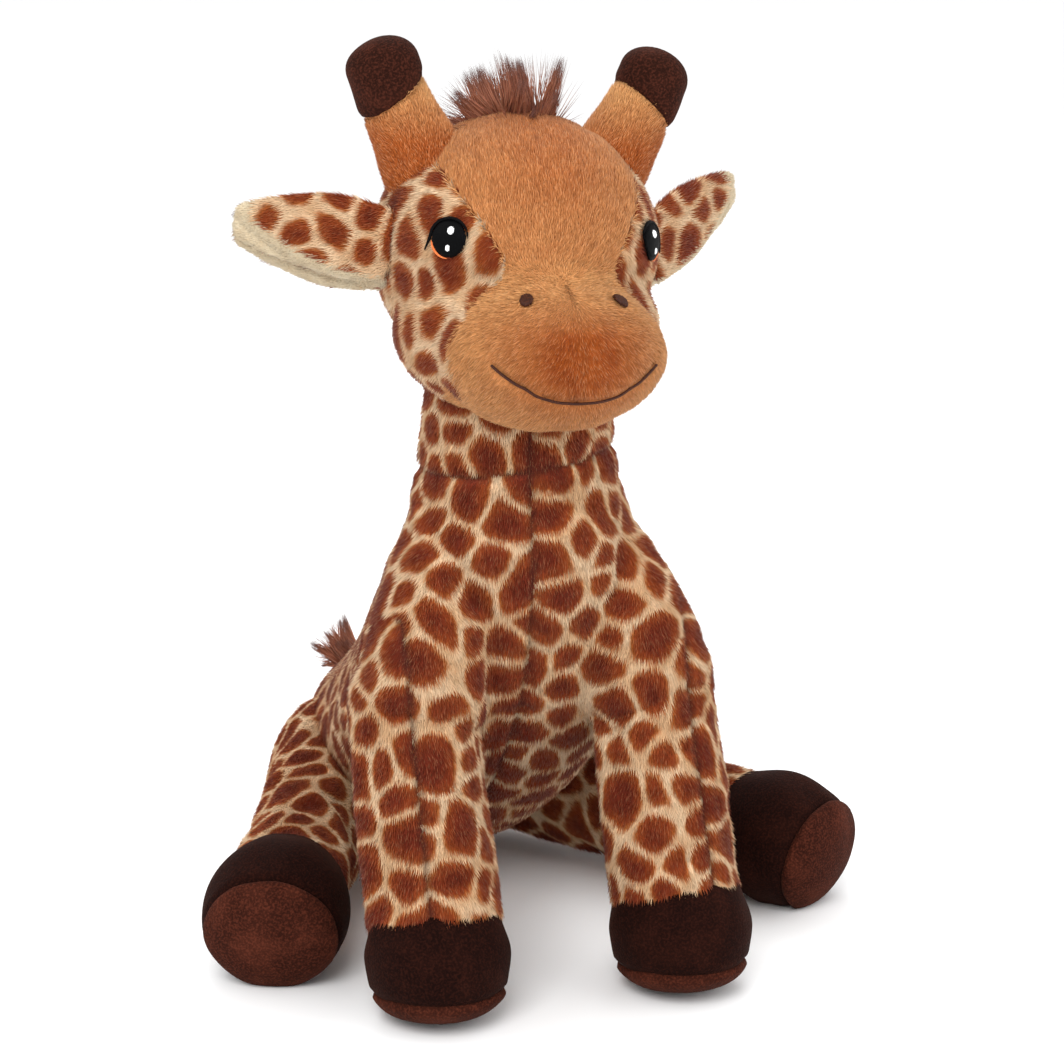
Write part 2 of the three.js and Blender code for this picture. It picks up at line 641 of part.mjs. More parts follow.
// A strip of hair along points on a surface: a low ridge with locks combed towards its end
function maneStrip(points, outward, clear) {
  const stations = points.map((at) => ({ at, halfWidth: mane.halfWidth, halfDepth: mane.halfHeight }));
  const ridge = stuffedForm(stations, {
    start: { dome: mane.halfHeight }, end: { dome: mane.halfHeight }, sides: around.cordSides, steps: along.smallSteps,
  });
  const line = new THREE.CatmullRomCurve3(points);
  const locks = Array.from({ length: mane.lockCount }, (_, k) => {
    const share = (k + 0.5) / mane.lockCount;
    const direction = outward(share).add(line.getTangent(share)).normalize();
    const geometry = new THREE.ConeGeometry(lock.radius, mane.lockLength, lock.sides);
    geometry.translate(0, mane.lockLength / 2, 0);
    geometry.applyQuaternion(new THREE.Quaternion().setFromUnitVectors(Y, direction));
    const foot = line.getPoint(share);
    geometry.translate(foot.x, foot.y, foot.z);
    return solidOf(geometry);
  });
  return largest(join(ridge, ...locks).subtract(clear));
}

const crownAngle = (share) => (
  crownMane.fromAngle + (crownMane.toAngle - crownMane.fromAngle) * share
) * degree;
const crownOut = (share) => new THREE.Vector3(0, Math.sin(crownAngle(share)), Math.cos(crownAngle(share)));
const crownShares = Array.from({ length: crownMane.pointCount }, (_, k) => k / (crownMane.pointCount - 1));
const crownPoints = crownShares.map((share) => crownOut(share)
  .multiply(new THREE.Vector3(0, head.egg.halfLength, head.egg.halfHeight))
  .add(place(0, head.egg.forward, head.egg.above)));
addNode(headFrame, 'mane_crown', maneStrip(crownPoints, crownOut, headClear), materials.hair);

const napePoints = [torso.neck, torso.throat, torso.shoulder]
  .map((s) => place(0, s.forward - s.halfDepth, s.height));
addNode(toy, 'mane_neck', maneStrip(napePoints, () => Y.clone(), torsoClear), materials.hair);

// Tail: a sewn cord with a tuft, which swings about an upright line at its root
const tailFrame = new THREE.Group();
tailFrame.position.copy(place(tail.root.aside, tail.root.forward, tail.root.height));
tailFrame.updateMatrix();
const fromRoot = (s) => place(s.aside - tail.root.aside, s.forward - tail.root.forward, s.height - tail.root.height);
const tailStations = [tail.root, tail.bend, tail.end]
  .map((s) => ({ at: fromRoot(s), halfWidth: tail.radius, halfDepth: tail.radius }));
const torsoAtTail = moved(torsoClear, tailFrame.matrix.clone().invert());
const aroundTail = (solid) => (
  trimmed(solid, torsoAtTail, torsoAtTail, place(0, 0, 0), Z, [tail.swingAngle, -tail.swingAngle])
);
const cord = stuffedForm(tailStations, {
  across: Z,
  start: { dome: tail.radius },
  end: { dome: tail.radius },
  sides: around.cordSides,
  steps: along.smallSteps,
});
const tailLine = new THREE.CatmullRomCurve3(tailStations.map((s) => s.at));
const tuftAxis = tailLine.getTangent(1);
const tuftMiddle = tailLine.getPoint(1).addScaledVector(tuftAxis, tail.tuftLength / 2);
const tuftHalf = new THREE.Vector3(tail.tuftRadius, tail.tuftRadius, tail.tuftLength);
const tuft = join(
  egg(tuftMiddle, tuftHalf, around.smallSides),
  ...locksOver(tuftMiddle, tuftHalf, tuftAxis, tail.lockCount, tail.lockLength, lock.radius),
);
const roomForCord = stuffedForm(tailStations, {
  across: Z,
  inset: -gap,
  start: { dome: tail.radius },
  end: { dome: tail.radius },
  sides: around.cordSides,
  steps: along.smallSteps,
});
addNode(tailFrame, 'tail_cord', aroundTail(cord), materials.spots);
addNode(tailFrame, 'tail_tuft', largest(aroundTail(tuft.subtract(roomForCord))), materials.hair);
toy.add(tailFrame);

export default toy;
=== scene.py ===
import math

import bmesh
import bpy
import numpy as np
from mathutils import Matrix, Vector
from mathutils.bvhtree import BVHTree
from mathutils.kdtree import KDTree


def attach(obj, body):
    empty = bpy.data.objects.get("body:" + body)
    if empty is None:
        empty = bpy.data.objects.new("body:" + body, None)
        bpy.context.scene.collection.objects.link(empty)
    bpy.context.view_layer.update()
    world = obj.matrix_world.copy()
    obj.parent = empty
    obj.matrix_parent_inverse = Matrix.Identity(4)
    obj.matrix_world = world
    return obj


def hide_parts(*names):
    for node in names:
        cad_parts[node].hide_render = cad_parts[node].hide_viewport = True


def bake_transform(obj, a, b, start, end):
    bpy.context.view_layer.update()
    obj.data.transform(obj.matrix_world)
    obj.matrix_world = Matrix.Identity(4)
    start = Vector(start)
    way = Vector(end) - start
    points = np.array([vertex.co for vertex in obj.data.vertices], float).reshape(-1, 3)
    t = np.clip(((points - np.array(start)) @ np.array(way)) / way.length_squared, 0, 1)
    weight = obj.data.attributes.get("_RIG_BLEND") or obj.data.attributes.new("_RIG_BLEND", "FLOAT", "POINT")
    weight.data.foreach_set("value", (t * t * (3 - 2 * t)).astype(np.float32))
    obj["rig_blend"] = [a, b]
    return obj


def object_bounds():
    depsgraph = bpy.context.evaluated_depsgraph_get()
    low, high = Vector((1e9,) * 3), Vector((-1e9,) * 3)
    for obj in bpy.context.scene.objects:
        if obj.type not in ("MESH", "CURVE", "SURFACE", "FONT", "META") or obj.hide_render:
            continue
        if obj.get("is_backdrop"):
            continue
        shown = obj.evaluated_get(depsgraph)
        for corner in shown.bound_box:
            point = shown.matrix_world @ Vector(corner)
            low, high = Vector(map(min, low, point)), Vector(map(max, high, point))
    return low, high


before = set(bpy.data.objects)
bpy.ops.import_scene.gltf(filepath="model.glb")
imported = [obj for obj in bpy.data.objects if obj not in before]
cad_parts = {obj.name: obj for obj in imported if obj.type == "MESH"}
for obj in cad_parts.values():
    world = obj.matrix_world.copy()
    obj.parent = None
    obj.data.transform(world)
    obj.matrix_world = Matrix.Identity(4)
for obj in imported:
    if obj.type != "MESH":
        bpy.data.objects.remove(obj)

CAD_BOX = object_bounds()
MM = 0.001
DEGREE = math.pi / 180
TURN = 2 * math.pi


def place(aside, forward, height):
    """A point in millimetres: aside is towards the giraffe's left, forward towards its face."""
    return np.array([aside, -forward, height], float)


def unit(vectors):
    """Vectors of length one, along the last axis."""
    length = np.linalg.norm(vectors, axis=-1, keepdims=True)
    return vectors / np.maximum(length, 1e-9)


# The same sizes as the solids, in millimetres. "wide" and "deep" are half sizes of a stuffed tube.
TORSO = [
    dict(at=place(0, 0, 44.3), wide=47, deep=46.5),
    dict(at=place(0, 40, 62), wide=50, deep=49),
    dict(at=place(0, 84, 88), wide=52, deep=49),
    dict(at=place(0, 121, 121), wide=53, deep=45),
    dict(at=place(0, 136, 150), wide=48, deep=41),
    dict(at=place(0, 137, 176), wide=40, deep=38),
    dict(at=place(0, 138, 204), wide=35.5, deep=35.5),
    dict(at=place(0, 138, 230), wide=33.5, deep=33.5),
]
RUMP_DOME = 42
NECK_DOME = 6
FRONT = dict(
    name="front_leg",
    aside=44.5,
    splay=dict(right=0, left=4),
    hip=place(0, 156, 106),
    leg=[
        dict(at=place(0, 156, 106), wide=24, deep=24),
        dict(at=place(0, 167, 74), wide=24.5, deep=24),
        dict(at=place(0, 181.5, 33.5), wide=24.5, deep=24),
    ],
    hoof=[
        dict(at=place(0, 181.5, 33.5), wide=23.6, deep=23.2),
        dict(at=place(0, 184.5, 23), wide=26, deep=27),
        dict(at=place(0, 186, 10.5), wide=24, deep=26),
    ],
    ball=24,
    bulge=11,
    bend=(-12, 14),  # where the cover starts and ends to bend, along the leg from the hip
)
HIND = dict(
    name="hind_leg",
    aside=36,
    splay=dict(right=23, left=37),
    hip=place(0, 4, 35),
    leg=[
        dict(at=place(0, 4, 35), wide=26, deep=33),
        dict(at=place(0, 44, 31), wide=24.5, deep=29.5),
        dict(at=place(0, 86, 27), wide=23.5, deep=26),
        dict(at=place(0, 121, 25), wide=24, deep=24),
    ],
    hoof=[
        dict(at=place(0, 121, 25), wide=23, deep=23),
        dict(at=place(0, 138, 24), wide=27, deep=26.5),
        dict(at=place(0, 153, 21), wide=25.5, deep=23),
    ],
    ball=26,
    bulge=11,
    bend=(10, 96),
)
LOBE = [
    dict(at=place(30, 138, 148), wide=20, deep=30),
    dict(at=place(37.5, 149, 126), wide=24, deep=30),
    dict(at=place(42.5, 156, 107), wide=25.5, deep=27),
]
HEAD_AT = place(0, 142, 262)
HEAD_YAW = 4.5
HEAD_ROLL = 3.5
EGG = dict(at=place(0, -4, 2), half=np.array([52.5, 47, 49]))
MUZZLE = dict(at=place(0, 32, -30), half=np.array([43.5, 32, 29]))
JAW = dict(at=place(0, 10, -24), half=np.array([50, 38, 35]))
FACE_EDGE = np.array([
    [30, 62], [38, 44], [35, 26], [27.5, 13], [20.5, -1],
    [29, -10.5], [38.5, -22], [40, -34], [31, -49], [20, -62],
], float)  # half of the plain face's outline, from the crown to the chin
CROWN_FROM = -12
CHIN_FROM = 12
NOSE_SEAM = -4
EYE = dict(aside=36.5, above=8, radius=7)
PUPIL = 6.1
NOSTRIL = dict(aside=17, above=-10.5, wide=1.7, high=2.9, lean=18)
MOUTH = dict(aside=30, end=-31, middle=-43)
HORN = [
    dict(at=place(32.5, -9, 27), wide=16, deep=16),
    dict(at=place(45, -9, 49), wide=13.4, deep=13.4),
    dict(at=place(51, -9, 63), wide=13, deep=13),
]
CAP_SHARE = 0.74
CAP_TILT = 14
EAR_AT = place(51, -2, 1)
EAR_SWEEP = 29
EAR_LIFT = dict(right=6, left=25)
TAIL_ROOT = place(0, -43, 58)

SIDES = dict(left=1, right=-1)
NAP_ROOM = 2.2  # from the backing cloth to the tips of the combed pile
FAR = 99  # a distance that says that no seam is near
BLOCK = 3000  # points that are worked on at a time
FLATTENED = 0.02  # what is left of a form's depth below the height that it rests at


# Shapes from numbers
def smooth_line(points, shares):
    """Points and tangents of a smooth curve through a list of points, at shares from 0 to 1."""
    points = np.asarray(points, float)
    ends = np.vstack([2 * points[0] - points[1], points, 2 * points[-1] - points[-2]])
    spot = np.clip(np.asarray(shares, float) * (len(points) - 1), 0, len(points) - 1 - 1e-9)
    index = spot.astype(int)
    t = (spot - index)[:, None]
    a, b, c, d = (ends[index + k] for k in range(4))
    bow = 2 * a - 5 * b + 4 * c - d
    twist = 3 * b - a - 3 * c + d
    position = 0.5 * (2 * b + (c - a) * t + bow * t**2 + twist * t**3)
    tangent = 0.5 * ((c - a) + 2 * bow * t + 3 * twist * t**2)
    return position, unit(tangent)


def stuffed(stations, start, end, inset=0.0, across=(1, 0, 0), sides=64, steps=40, dome=8):
    """A closed stuffed tube through stations. An end is ("dome", height) or ("flat", reach)."""
    line = [s["at"] for s in stations]
    sizes = [[s["wide"] - inset, s["deep"] - inset] for s in stations]
    ends = []
    tips = []
    for share, (kind, amount), way in ((0, start, -1), (1, end, 1)):
        if kind == "flat":
            reach = amount
            rings = [(share, way * reach, 1.0)]
        else:
            reach = amount - inset
            angles = np.linspace(0, math.pi / 2, dome, endpoint=False)
            rings = [(share, way * reach * math.sin(a), math.cos(a)) for a in angles]
        ends.append(rings[::way])
        point, tangent = smooth_line(line, [share])
        tips.append(point[0] + tangent[0] * way * reach)
    plan = ends[0] + [(k / steps, 0.0, 1.0) for k in range(1, steps)] + ends[1]
    count = len(plan)
    shares, shifts, scales = (np.array(column) for column in zip(*plan))
    centres, tangents = smooth_line(line, shares)
    half = smooth_line(sizes, shares)[0] * scales[:, None]
    centres = centres + tangents * shifts[:, None]
    across = np.asarray(across, float)
    wide = unit(across - tangents * (tangents @ across)[:, None])
    deep = np.cross(tangents, wide)
    angle = np.linspace(0, TURN, sides, endpoint=False)
    rings = (
        centres[:, None]
        + wide[:, None] * half[:, :1, None] * np.cos(angle)[None, :, None]
        + deep[:, None] * half[:, 1:, None] * np.sin(angle)[None, :, None]
    )
    verts = np.vstack([rings.reshape(-1, 3), tips])
    faces = []
    for low in range(0, (count - 1) * sides, sides):
        for k in range(sides):
            n = (k + 1) % sides
            faces.append((low + k, low + n, low + sides + n, low + sides + k))
    last = (count - 1) * sides
    for k in range(sides):
        n = (k + 1) % sides
        faces.append((n, k, count * sides))
        faces.append((last + k, last + n, count * sides + 1))
    return verts, faces


def egg(middle, half, sides=48):
    """A closed ellipsoid."""
    middle = np.array(middle)
    stations = [dict(at=middle + [0, 0, z], wide=1, deep=1) for z in (-1e-3, 1e-3)]
    verts, faces = stuffed(stations, ("dome", 1.0), ("dome", 1.0), sides=sides, steps=1, dome=sides // 4)
    return middle + (verts - middle) * np.array(half), faces


def merged(*shapes):
    """Several closed shapes as the points and faces of one."""
    verts, faces, offset = [], [], 0
    for shape_verts, shape_faces in shapes:
        verts.append(np.asarray(shape_verts, float))
        faces += [tuple(int(i) + offset for i in f) for f in shape_faces]
        offset += len(shape_verts)
    return np.vstack(verts), faces


def mirrored(stations, sign):
    """The stations of a tube at the left side, or at the right one where the sign is negative."""
    return [dict(s, at=s["at"] * [sign, 1, 1]) for s in stations]


def turned(verts, matrix):
    """Points moved by a 4 by 4 matrix."""
    matrix = np.array(matrix)
    return verts @ matrix[:3, :3].T + matrix[:3, 3]


def frame_of(at, rotation):
    """A matrix in millimetres from a place and a rotation."""
    return np.array(Matrix.Translation(Vector(at)) @ rotation.to_4x4())


def turn(axis, degrees):
    """A rotation about an axis of the frame."""
    return Matrix.Rotation(degrees * DEGREE, 3, axis)


HEAD = frame_of(HEAD_AT, turn("Z", HEAD_YAW) @ turn("Y", HEAD_ROLL))


def limb_frame(limb, side):
    """From a limb's own place, straight under the middle plane, to its splayed place at a side."""
    sign = SIDES[side]
    hip = limb["hip"] + place(sign * limb["aside"], 0, 0)
    splay = turn("Z", sign * limb["splay"][side])
    return frame_of(hip, splay) @ frame_of(-limb["hip"], Matrix.Identity(3))


def ear_frame(side):
    """From an ear's own place to its place on the toy: its flaps run along X from the seam."""
    sign = SIDES[side]
    rotation = turn("Z", sign * EAR_SWEEP) @ turn("Y", -sign * EAR_LIFT[side])
    return HEAD @ frame_of(EAR_AT * [sign, 1, 1], rotation)


# Meshes and objects
def linked(name, data):
    """A new object in the scene."""
    thing = bpy.data.objects.new(name, data)
    bpy.context.collection.objects.link(thing)
    return thing


def mesh_object(name, verts, faces):
    """An object at the origin from points in millimetres."""
    mesh = bpy.data.meshes.new(name)
    mesh.from_pydata((np.asarray(verts) * MM).tolist(), [], [tuple(int(i) for i in f) for f in faces])
    mesh.update()
    mesh.shade_smooth()
    return linked(name, mesh)


def evaluated(thing, name):
    """A plain object with what the modifiers of another make of it."""
    graph = bpy.context.evaluated_depsgraph_get()
    mesh = bpy.data.meshes.new_from_object(
        thing.evaluated_get(graph), preserve_all_data_layers=True, depsgraph=graph
    )
    mesh.name = name
    return linked(name, mesh)


def remove(thing):
    """Takes a helper out of the scene, and its mesh too when nothing else uses it."""
    mesh = thing.data
    bpy.data.objects.remove(thing)
    if mesh and mesh.users == 0:
        bpy.data.meshes.remove(mesh)


def points_of(thing):
    """Points and outward directions of a mesh, in millimetres."""
    mesh = thing.data
    count = len(mesh.vertices)
    places = np.empty(count * 3)
    mesh.vertices.foreach_get("co", places)
    normals = np.empty(count * 3)
    mesh.vertex_normals.foreach_get("vector", normals)
    return places.reshape(-1, 3) / MM, normals.reshape(-1, 3)


def set_points(thing, places):
    """Moves the points of a mesh to places in millimetres."""
    thing.data.vertices.foreach_set("co", (places * MM).ravel())
    thing.data.update()


def move(thing, matrix):
    """Moves the points of a mesh by a matrix in millimetres, because its object stays at the origin."""
    set_points(thing, turned(points_of(thing)[0], matrix))


# What the skins store for each point: see dress
FIELDS = ("patch", "comb", "pile", "trim", "tint", "shade")


def set_field(thing, name, values):
    """Stores a number or a direction for each point of a mesh."""
    kind, key = ("FLOAT_VECTOR", "vector") if values.ndim == 2 else ("FLOAT", "value")
    field = thing.data.attributes.get(name) or thing.data.attributes.new(name, kind, "POINT")
    field.data.foreach_set(key, np.ascontiguousarray(values, np.float32).ravel())


def get_field(thing, name):
    """What a mesh stores for each point or strand under a name."""
    field = thing.data.attributes[name]
    wide = 3 if field.data_type == "FLOAT_VECTOR" else 1
    values = np.empty(len(field.data) * wide, np.float32)
    field.data.foreach_get("vector" if wide == 3 else "value", values)
    return values.reshape(-1, 3) if wide == 3 else values


def sewn(name, shells, voxel, smooth=4):
    """One closed skin around several overlapping closed shells, with its corners softened."""
    rough = mesh_object(name + "_rough", *merged(*shells))
    fuse = rough.modifiers.new("fuse", "REMESH")
    fuse.mode = "VOXEL"
    fuse.voxel_size = voxel * MM
    soften = rough.modifiers.new("soften", "SMOOTH")
    soften.factor = 0.5
    soften.iterations = smooth
    skin = evaluated(rough, name)
    skin.data.shade_smooth()
    remove(rough)
    return skin


def part_of(thing, name, keep):
    """A copy of a mesh with only the faces whose points are mostly kept."""
    mesh = thing.data
    count = len(mesh.polygons)
    first = np.empty(count, int)
    total = np.empty(count, int)
    corner = np.empty(len(mesh.loops), int)
    mesh.polygons.foreach_get("loop_start", first)
    mesh.polygons.foreach_get("loop_total", total)
    mesh.loops.foreach_get("vertex_index", corner)
    score = np.add.reduceat(keep[corner].astype(float), first) / total
    chosen = np.flatnonzero(score >= 0.5)
    faces = [corner[first[k]:first[k] + total[k]] for k in chosen]
    used = np.unique(np.concatenate(faces))
    renumber = np.full(len(mesh.vertices), -1)
    renumber[used] = np.arange(len(used))
    places, _ = points_of(thing)
    piece = mesh_object(name, places[used], [renumber[f] for f in faces])
    for field in mesh.attributes:
        if field.domain == "POINT" and field.name in FIELDS:
            set_field(piece, field.name, get_field(thing, field.name)[used])
    return piece


def thickened(thing, depth):
    """Gives an open panel its wall, turned inwards and closed."""
    wall = thing.modifiers.new("wall", "SOLIDIFY")
    wall.thickness = depth * MM
    wall.offset = -1
    name = thing.name
    thing.name = name + "_open"
    closed = evaluated(thing, name)
    closed.data.shade_smooth()
    remove(thing)
    return closed


# Node trees: a socket takes Python's operators, and any node comes from one method
class Term:
    """A socket of a node tree that works in expressions."""

    def __init__(self, tree, socket):
        self.tree = tree
        self.socket = socket

    def maths(self, operation, *others):
        return self.tree.add("ShaderNodeMath", dict(operation=operation), [self, *others])

    def reflected(self, operation, other):
        return self.tree.add("ShaderNodeMath", dict(operation=operation), [other, self])

    def __add__(self, other):
        return self.maths("ADD", other)

    def __sub__(self, other):
        return self.maths("SUBTRACT", other)

    def __mul__(self, other):
        return self.maths("MULTIPLY", other)

    def __truediv__(self, other):
        return self.maths("DIVIDE", other)

    def __rsub__(self, other):
        return self.reflected("SUBTRACT", other)

    def __rtruediv__(self, other):
        return self.reflected("DIVIDE", other)

    __radd__ = __add__
    __rmul__ = __mul__

    def output(self, key):
        """Another output of the node that this socket belongs to."""
        return Term(self.tree, self.socket.node.outputs[key])

    def clip(self):
        return self.tree.add("ShaderNodeClamp", {}, [self])

    def ramp(self, low, high):
        """0 below low, 1 above high and smooth between them."""
        return self.tree.add(
            "ShaderNodeMapRange", dict(interpolation_type="SMOOTHSTEP"), [self, low, high, 0, 1]
        )


class Tree:
    """A node tree that is built from expressions."""

    def __init__(self, nodes):
        self.nodes = nodes

    def link(self, socket, value):
        if isinstance(value, Term):
            self.nodes.links.new(value.socket, socket)
        elif value is not None:
            socket.default_value = value

    def add(self, kind, settings=None, inputs=(), output=0):
        """A node with its settings, then its sockets by place in a list or by name in a dict."""
        node = self.nodes.nodes.new(kind)
        for key, value in (settings or {}).items():
            setattr(node, key, value)
        if isinstance(inputs, dict):
            for key, value in inputs.items():
                named = [s for s in node.inputs if s.name == key and s.enabled]
                self.link(named[0], value)
        else:
            for socket, value in zip(node.inputs, inputs):
                self.link(socket, value)
        chosen = [s for s in node.outputs if s.enabled][output]
        return Term(self, chosen)

    def mix(self, share, first, second):
        """A colour between two colours."""
        node = self.nodes.nodes.new("ShaderNodeMix")
        node.data_type = "RGBA"
        node.clamp_factor = True
        for index, value in ((0, share), (6, first), (7, second)):
            self.link(node.inputs[index], value)
        return Term(self, node.outputs[2])

    def vector(self, operation, *inputs, output=0):
        return self.add("ShaderNodeVectorMath", dict(operation=operation), inputs, output)


def tint(code, alpha=1.0):
    """A colour from its six digits, as the shaders want it."""
    channels = [int(code[k:k + 2], 16) / 255 for k in (0, 2, 4)]
    linear = [c / 12.92 if c <= 0.04045 else ((c + 0.055) / 1.055) ** 2.4 for c in channels]
    return (*linear, alpha)


class Finish(Tree):
    """A material around one Principled shader."""

    def __init__(self, name):
        self.material = bpy.data.materials.new(name)
        self.material.use_nodes = True
        super().__init__(self.material.node_tree)
        self.shader = self.nodes.nodes["Principled BSDF"]

    def set(self, **values):
        for key, value in values.items():
            self.link(self.shader.inputs[key.replace("_", " ")], value)
        return self.material

    def field(self, name, output="Fac"):
        node = self.nodes.nodes.new("ShaderNodeAttribute")
        node.attribute_name = name
        return Term(self, node.outputs[output])

    def rise(self):
        """How far along its strand a point lies, from 0 at the root to 1 at the tip."""
        return self.add("ShaderNodeSeparateXYZ", {}, [self.field("strand", "Vector")], 1)

    def place(self):
        return self.add("ShaderNodeTexCoord", {}, {}, 3)

    def noise(self, size, detail=2.0):
        """Noise about 0.5 with grains of a size in millimetres."""
        return self.add(
            "ShaderNodeTexNoise", {}, {"Vector": self.place(), "Scale": 1000 / size, "Detail": detail}
        )

    def bump(self, height, depth, strength=1.0, normal=None):
        return self.add(
            "ShaderNodeBump",
            {},
            {"Height": height, "Distance": depth * MM, "Strength": strength, "Normal": normal},
        )

    def soft_normal(self, drawn=0.8):
        """The strand's own normal, drawn towards the normal of the cloth that it grows from."""
        cloth = self.add(
            "ShaderNodeVectorTransform",
            dict(vector_type="VECTOR", convert_from="OBJECT", convert_to="WORLD"),
            [self.field("lie", "Vector")],
        )
        own = self.add("ShaderNodeNewGeometry", {}, {}, 1)
        cloth = self.vector("SCALE", cloth, None, None, drawn)
        return self.vector("NORMALIZE", self.vector("ADD", own, cloth))


def pile_finish(name, colour, contrast=0.55, glint=0.2):
    """Combed pile, on the backing cloth and on its strands.

    colour is a function of the finish, contrast is how dark some strands get at random and how much painted
    shade darkens every strand towards its root, and glint how strong a painted highlight on the tips of
    others is.
    """
    finish = Finish(name)
    shade = finish.field("shade")
    rise = finish.rise()
    # Random tone for each strand, and painted shade towards the root of every strand and on the backing
    # cloth
    light = (1 - contrast + shade * contrast * 0.9 + rise * contrast * 0.4).clip()
    # Painted highlight on the tips of some strands
    pale = shade.ramp(0.5, 1.0) * rise.ramp(0.2, 0.9) * glint
    full = finish.mix(pale, colour(finish), tint("f4c592"))
    # The darkest that the random tone and the painted root shade get
    deep = finish.mix(0.42, tint("000000"), full)
    return finish.set(
        Base_Color=finish.mix(light, deep, full),
        Roughness=0.7,
        Sheen_Weight=0.1,
        Sheen_Roughness=0.45,
        Specular_IOR_Level=0.22,
        Normal=finish.bump(finish.noise(0.45, 3), 0.08, 0.4, finish.soft_normal()),
    )


def spotted(finish):
    """Brown patches with rusty edges on cream, with painted shade along the seams."""
    level = finish.field("patch") + finish.noise(5) * 1.2 - 0.6
    cream = finish.mix(finish.noise(11).ramp(0.35, 0.7), tint("f2d1ab"), tint("e2b78b"))
    edge = finish.mix(finish.noise(7, 3).ramp(0.3, 0.7), tint("9c4414"), tint("8a340c"))
    brown = finish.mix(level.ramp(2.0, 5.0), edge, tint("762506"))
    rusty = finish.mix(level.ramp(0.3, 1.3), cream, tint("bc6c2c"))
    plush = finish.mix(level.ramp(0.8, 1.9), rusty, brown)
    # Painted shade along the seams, as far as the field tint says
    return finish.mix(finish.field("tint"), plush, tint("34140a"))


def tan(finish):
    """Plain tan, from pale on the forehead to orange on the nose, by the field tint, which on the face also
    holds painted shade at the crown and painted light at the chin.
    """
    grain = finish.noise(5, 3).ramp(0.3, 0.7)
    pale = finish.mix(grain, tint("edb070"), tint("e2a264"))
    deep = finish.mix(grain, tint("be5e1c"), tint("b25418"))
    return finish.mix(finish.field("tint"), pale, deep)


def creamy(finish):
    """The pale lining of the ears."""
    return finish.mix(finish.noise(6, 3).ramp(0.3, 0.7), tint("e2d2b4"), tint("d6c2a2"))


def velour_finish(name, dark, light):
    """Short velour: a dark ground whose nap is rubbed lighter in soft clouds."""
    finish = Finish(name)
    cloud = finish.noise(13, 3)
    grain = finish.noise(0.8, 3)
    share = (cloud.ramp(0.4, 0.75) * 0.4 + grain.ramp(0.4, 0.7) * 0.7).clip()
    return finish.set(
        Base_Color=finish.mix(share, tint(dark), tint(light)),
        Roughness=0.9,
        Sheen_Weight=0.12,
        Sheen_Roughness=0.35,
        Sheen_Tint=tint("8a5a48"),
        Specular_IOR_Level=0.05,
        Normal=finish.bump(grain, 0.6, 0.9),
    )


def thread_finish(name, colour, light, roughness, gloss=0.2):
    """Twisted shiny thread, whose grain mixes in its second colour as painted light and shade on the twist.
    """
    finish = Finish(name)
    grain = finish.noise(0.5)
    return finish.set(
        # Painted highlights on the twist of the dark threads, a painted grey shade on the white one
        Base_Color=finish.mix(grain.ramp(0.35, 0.8) * 0.5, tint(colour), tint(light)),
        Roughness=roughness,
        Specular_IOR_Level=gloss,
        Normal=finish.bump(grain, 0.08, 0.5),
    )


def hair_finish():
    """Long brown hair, darker at its tips."""
    finish = Finish("long_hair")
    rise = finish.rise()
    root = finish.mix(finish.field("shade"), tint("80422c"), tint("c07c5c"))
    base = finish.mix(rise.ramp(0.5, 0.95), root, tint("54281c"))
    return finish.set(Base_Color=base, Roughness=0.45, Specular_IOR_Level=0.35, Sheen_Weight=0.05)


def filling_finish():
    """White fibre, which no cover lets show."""
    finish = Finish("filling")
    grain = finish.noise(1.2, 4)
    base = finish.mix(grain.ramp(0.3, 0.7), tint("f4f2ec"), tint("dedbd0"))
    return finish.set(Base_Color=base, Roughness=0.95, Sheen_Weight=0.3, Normal=finish.bump(grain, 0.8))


FINISH = dict(
    spotted_plush=pile_finish("spotted_plush", spotted),
    tan_plush=pile_finish("tan_plush", tan, 0.8, 0.42),
    orange_plush=pile_finish("orange_plush", tan, 0.8, 0.42),
    cream_velour=pile_finish("cream_velour", creamy, 0.15),
    brown_velour=velour_finish("brown_velour", "150604", "2d130c"),
    cap_velour=velour_finish("cap_velour", "24100a", "4c261b"),
    sole_velour=velour_finish("sole_velour", "2c120b", "55291c"),
    black_thread=thread_finish("black_thread", "020203", "08090b", 0.5, 0.06),
    white_thread=thread_finish("white_thread", "ffffff", "dfe4ea", 0.4),
    brown_thread=thread_finish("brown_thread", "2c120a", "6a3618", 0.55),
    orange_thread=thread_finish("orange_thread", "d8662c", "f09a5c", 0.45),
    long_hair=hair_finish(),
    filling=filling_finish(),
)


# Strands: one closed spike, spread over a skin by a node tree
def spike(name, bend=0.0, levels=1, corners=3):
    """A closed tapered strand of length one along Z, with its place along it in a map."""
    verts = []
    for height in np.linspace(0, 1, levels + 1)[:-1]:
        radius = 1 - height
        for k in range(corners):
            angle = TURN * k / corners
            verts.append((radius * math.cos(angle) + bend * height**2, radius * math.sin(angle), height))
    verts.append((bend, 0, 1))
    top = (levels - 1) * corners
    faces = [tuple(range(corners))[::-1]]
    for low in range(0, top, corners):
        for k in range(corners):
            n = (k + 1) % corners
            faces.append((low + k, low + n, low + corners + n, low + corners + k))
    for k in range(corners):
        faces.append((top + k, top + (k + 1) % corners, len(verts) - 1))
    thing = mesh_object(name, np.array(verts) / MM, faces)
    layer = thing.data.attributes.new("strand", "FLOAT2", "CORNER")
    for loop in thing.data.loops:
        x, _, z = thing.data.vertices[loop.vertex_index].co
        layer.data[loop.index].vector = (0.5 + 0.4 * min(max(x, -1), 1), z)
    thing.hide_render = True
    return thing


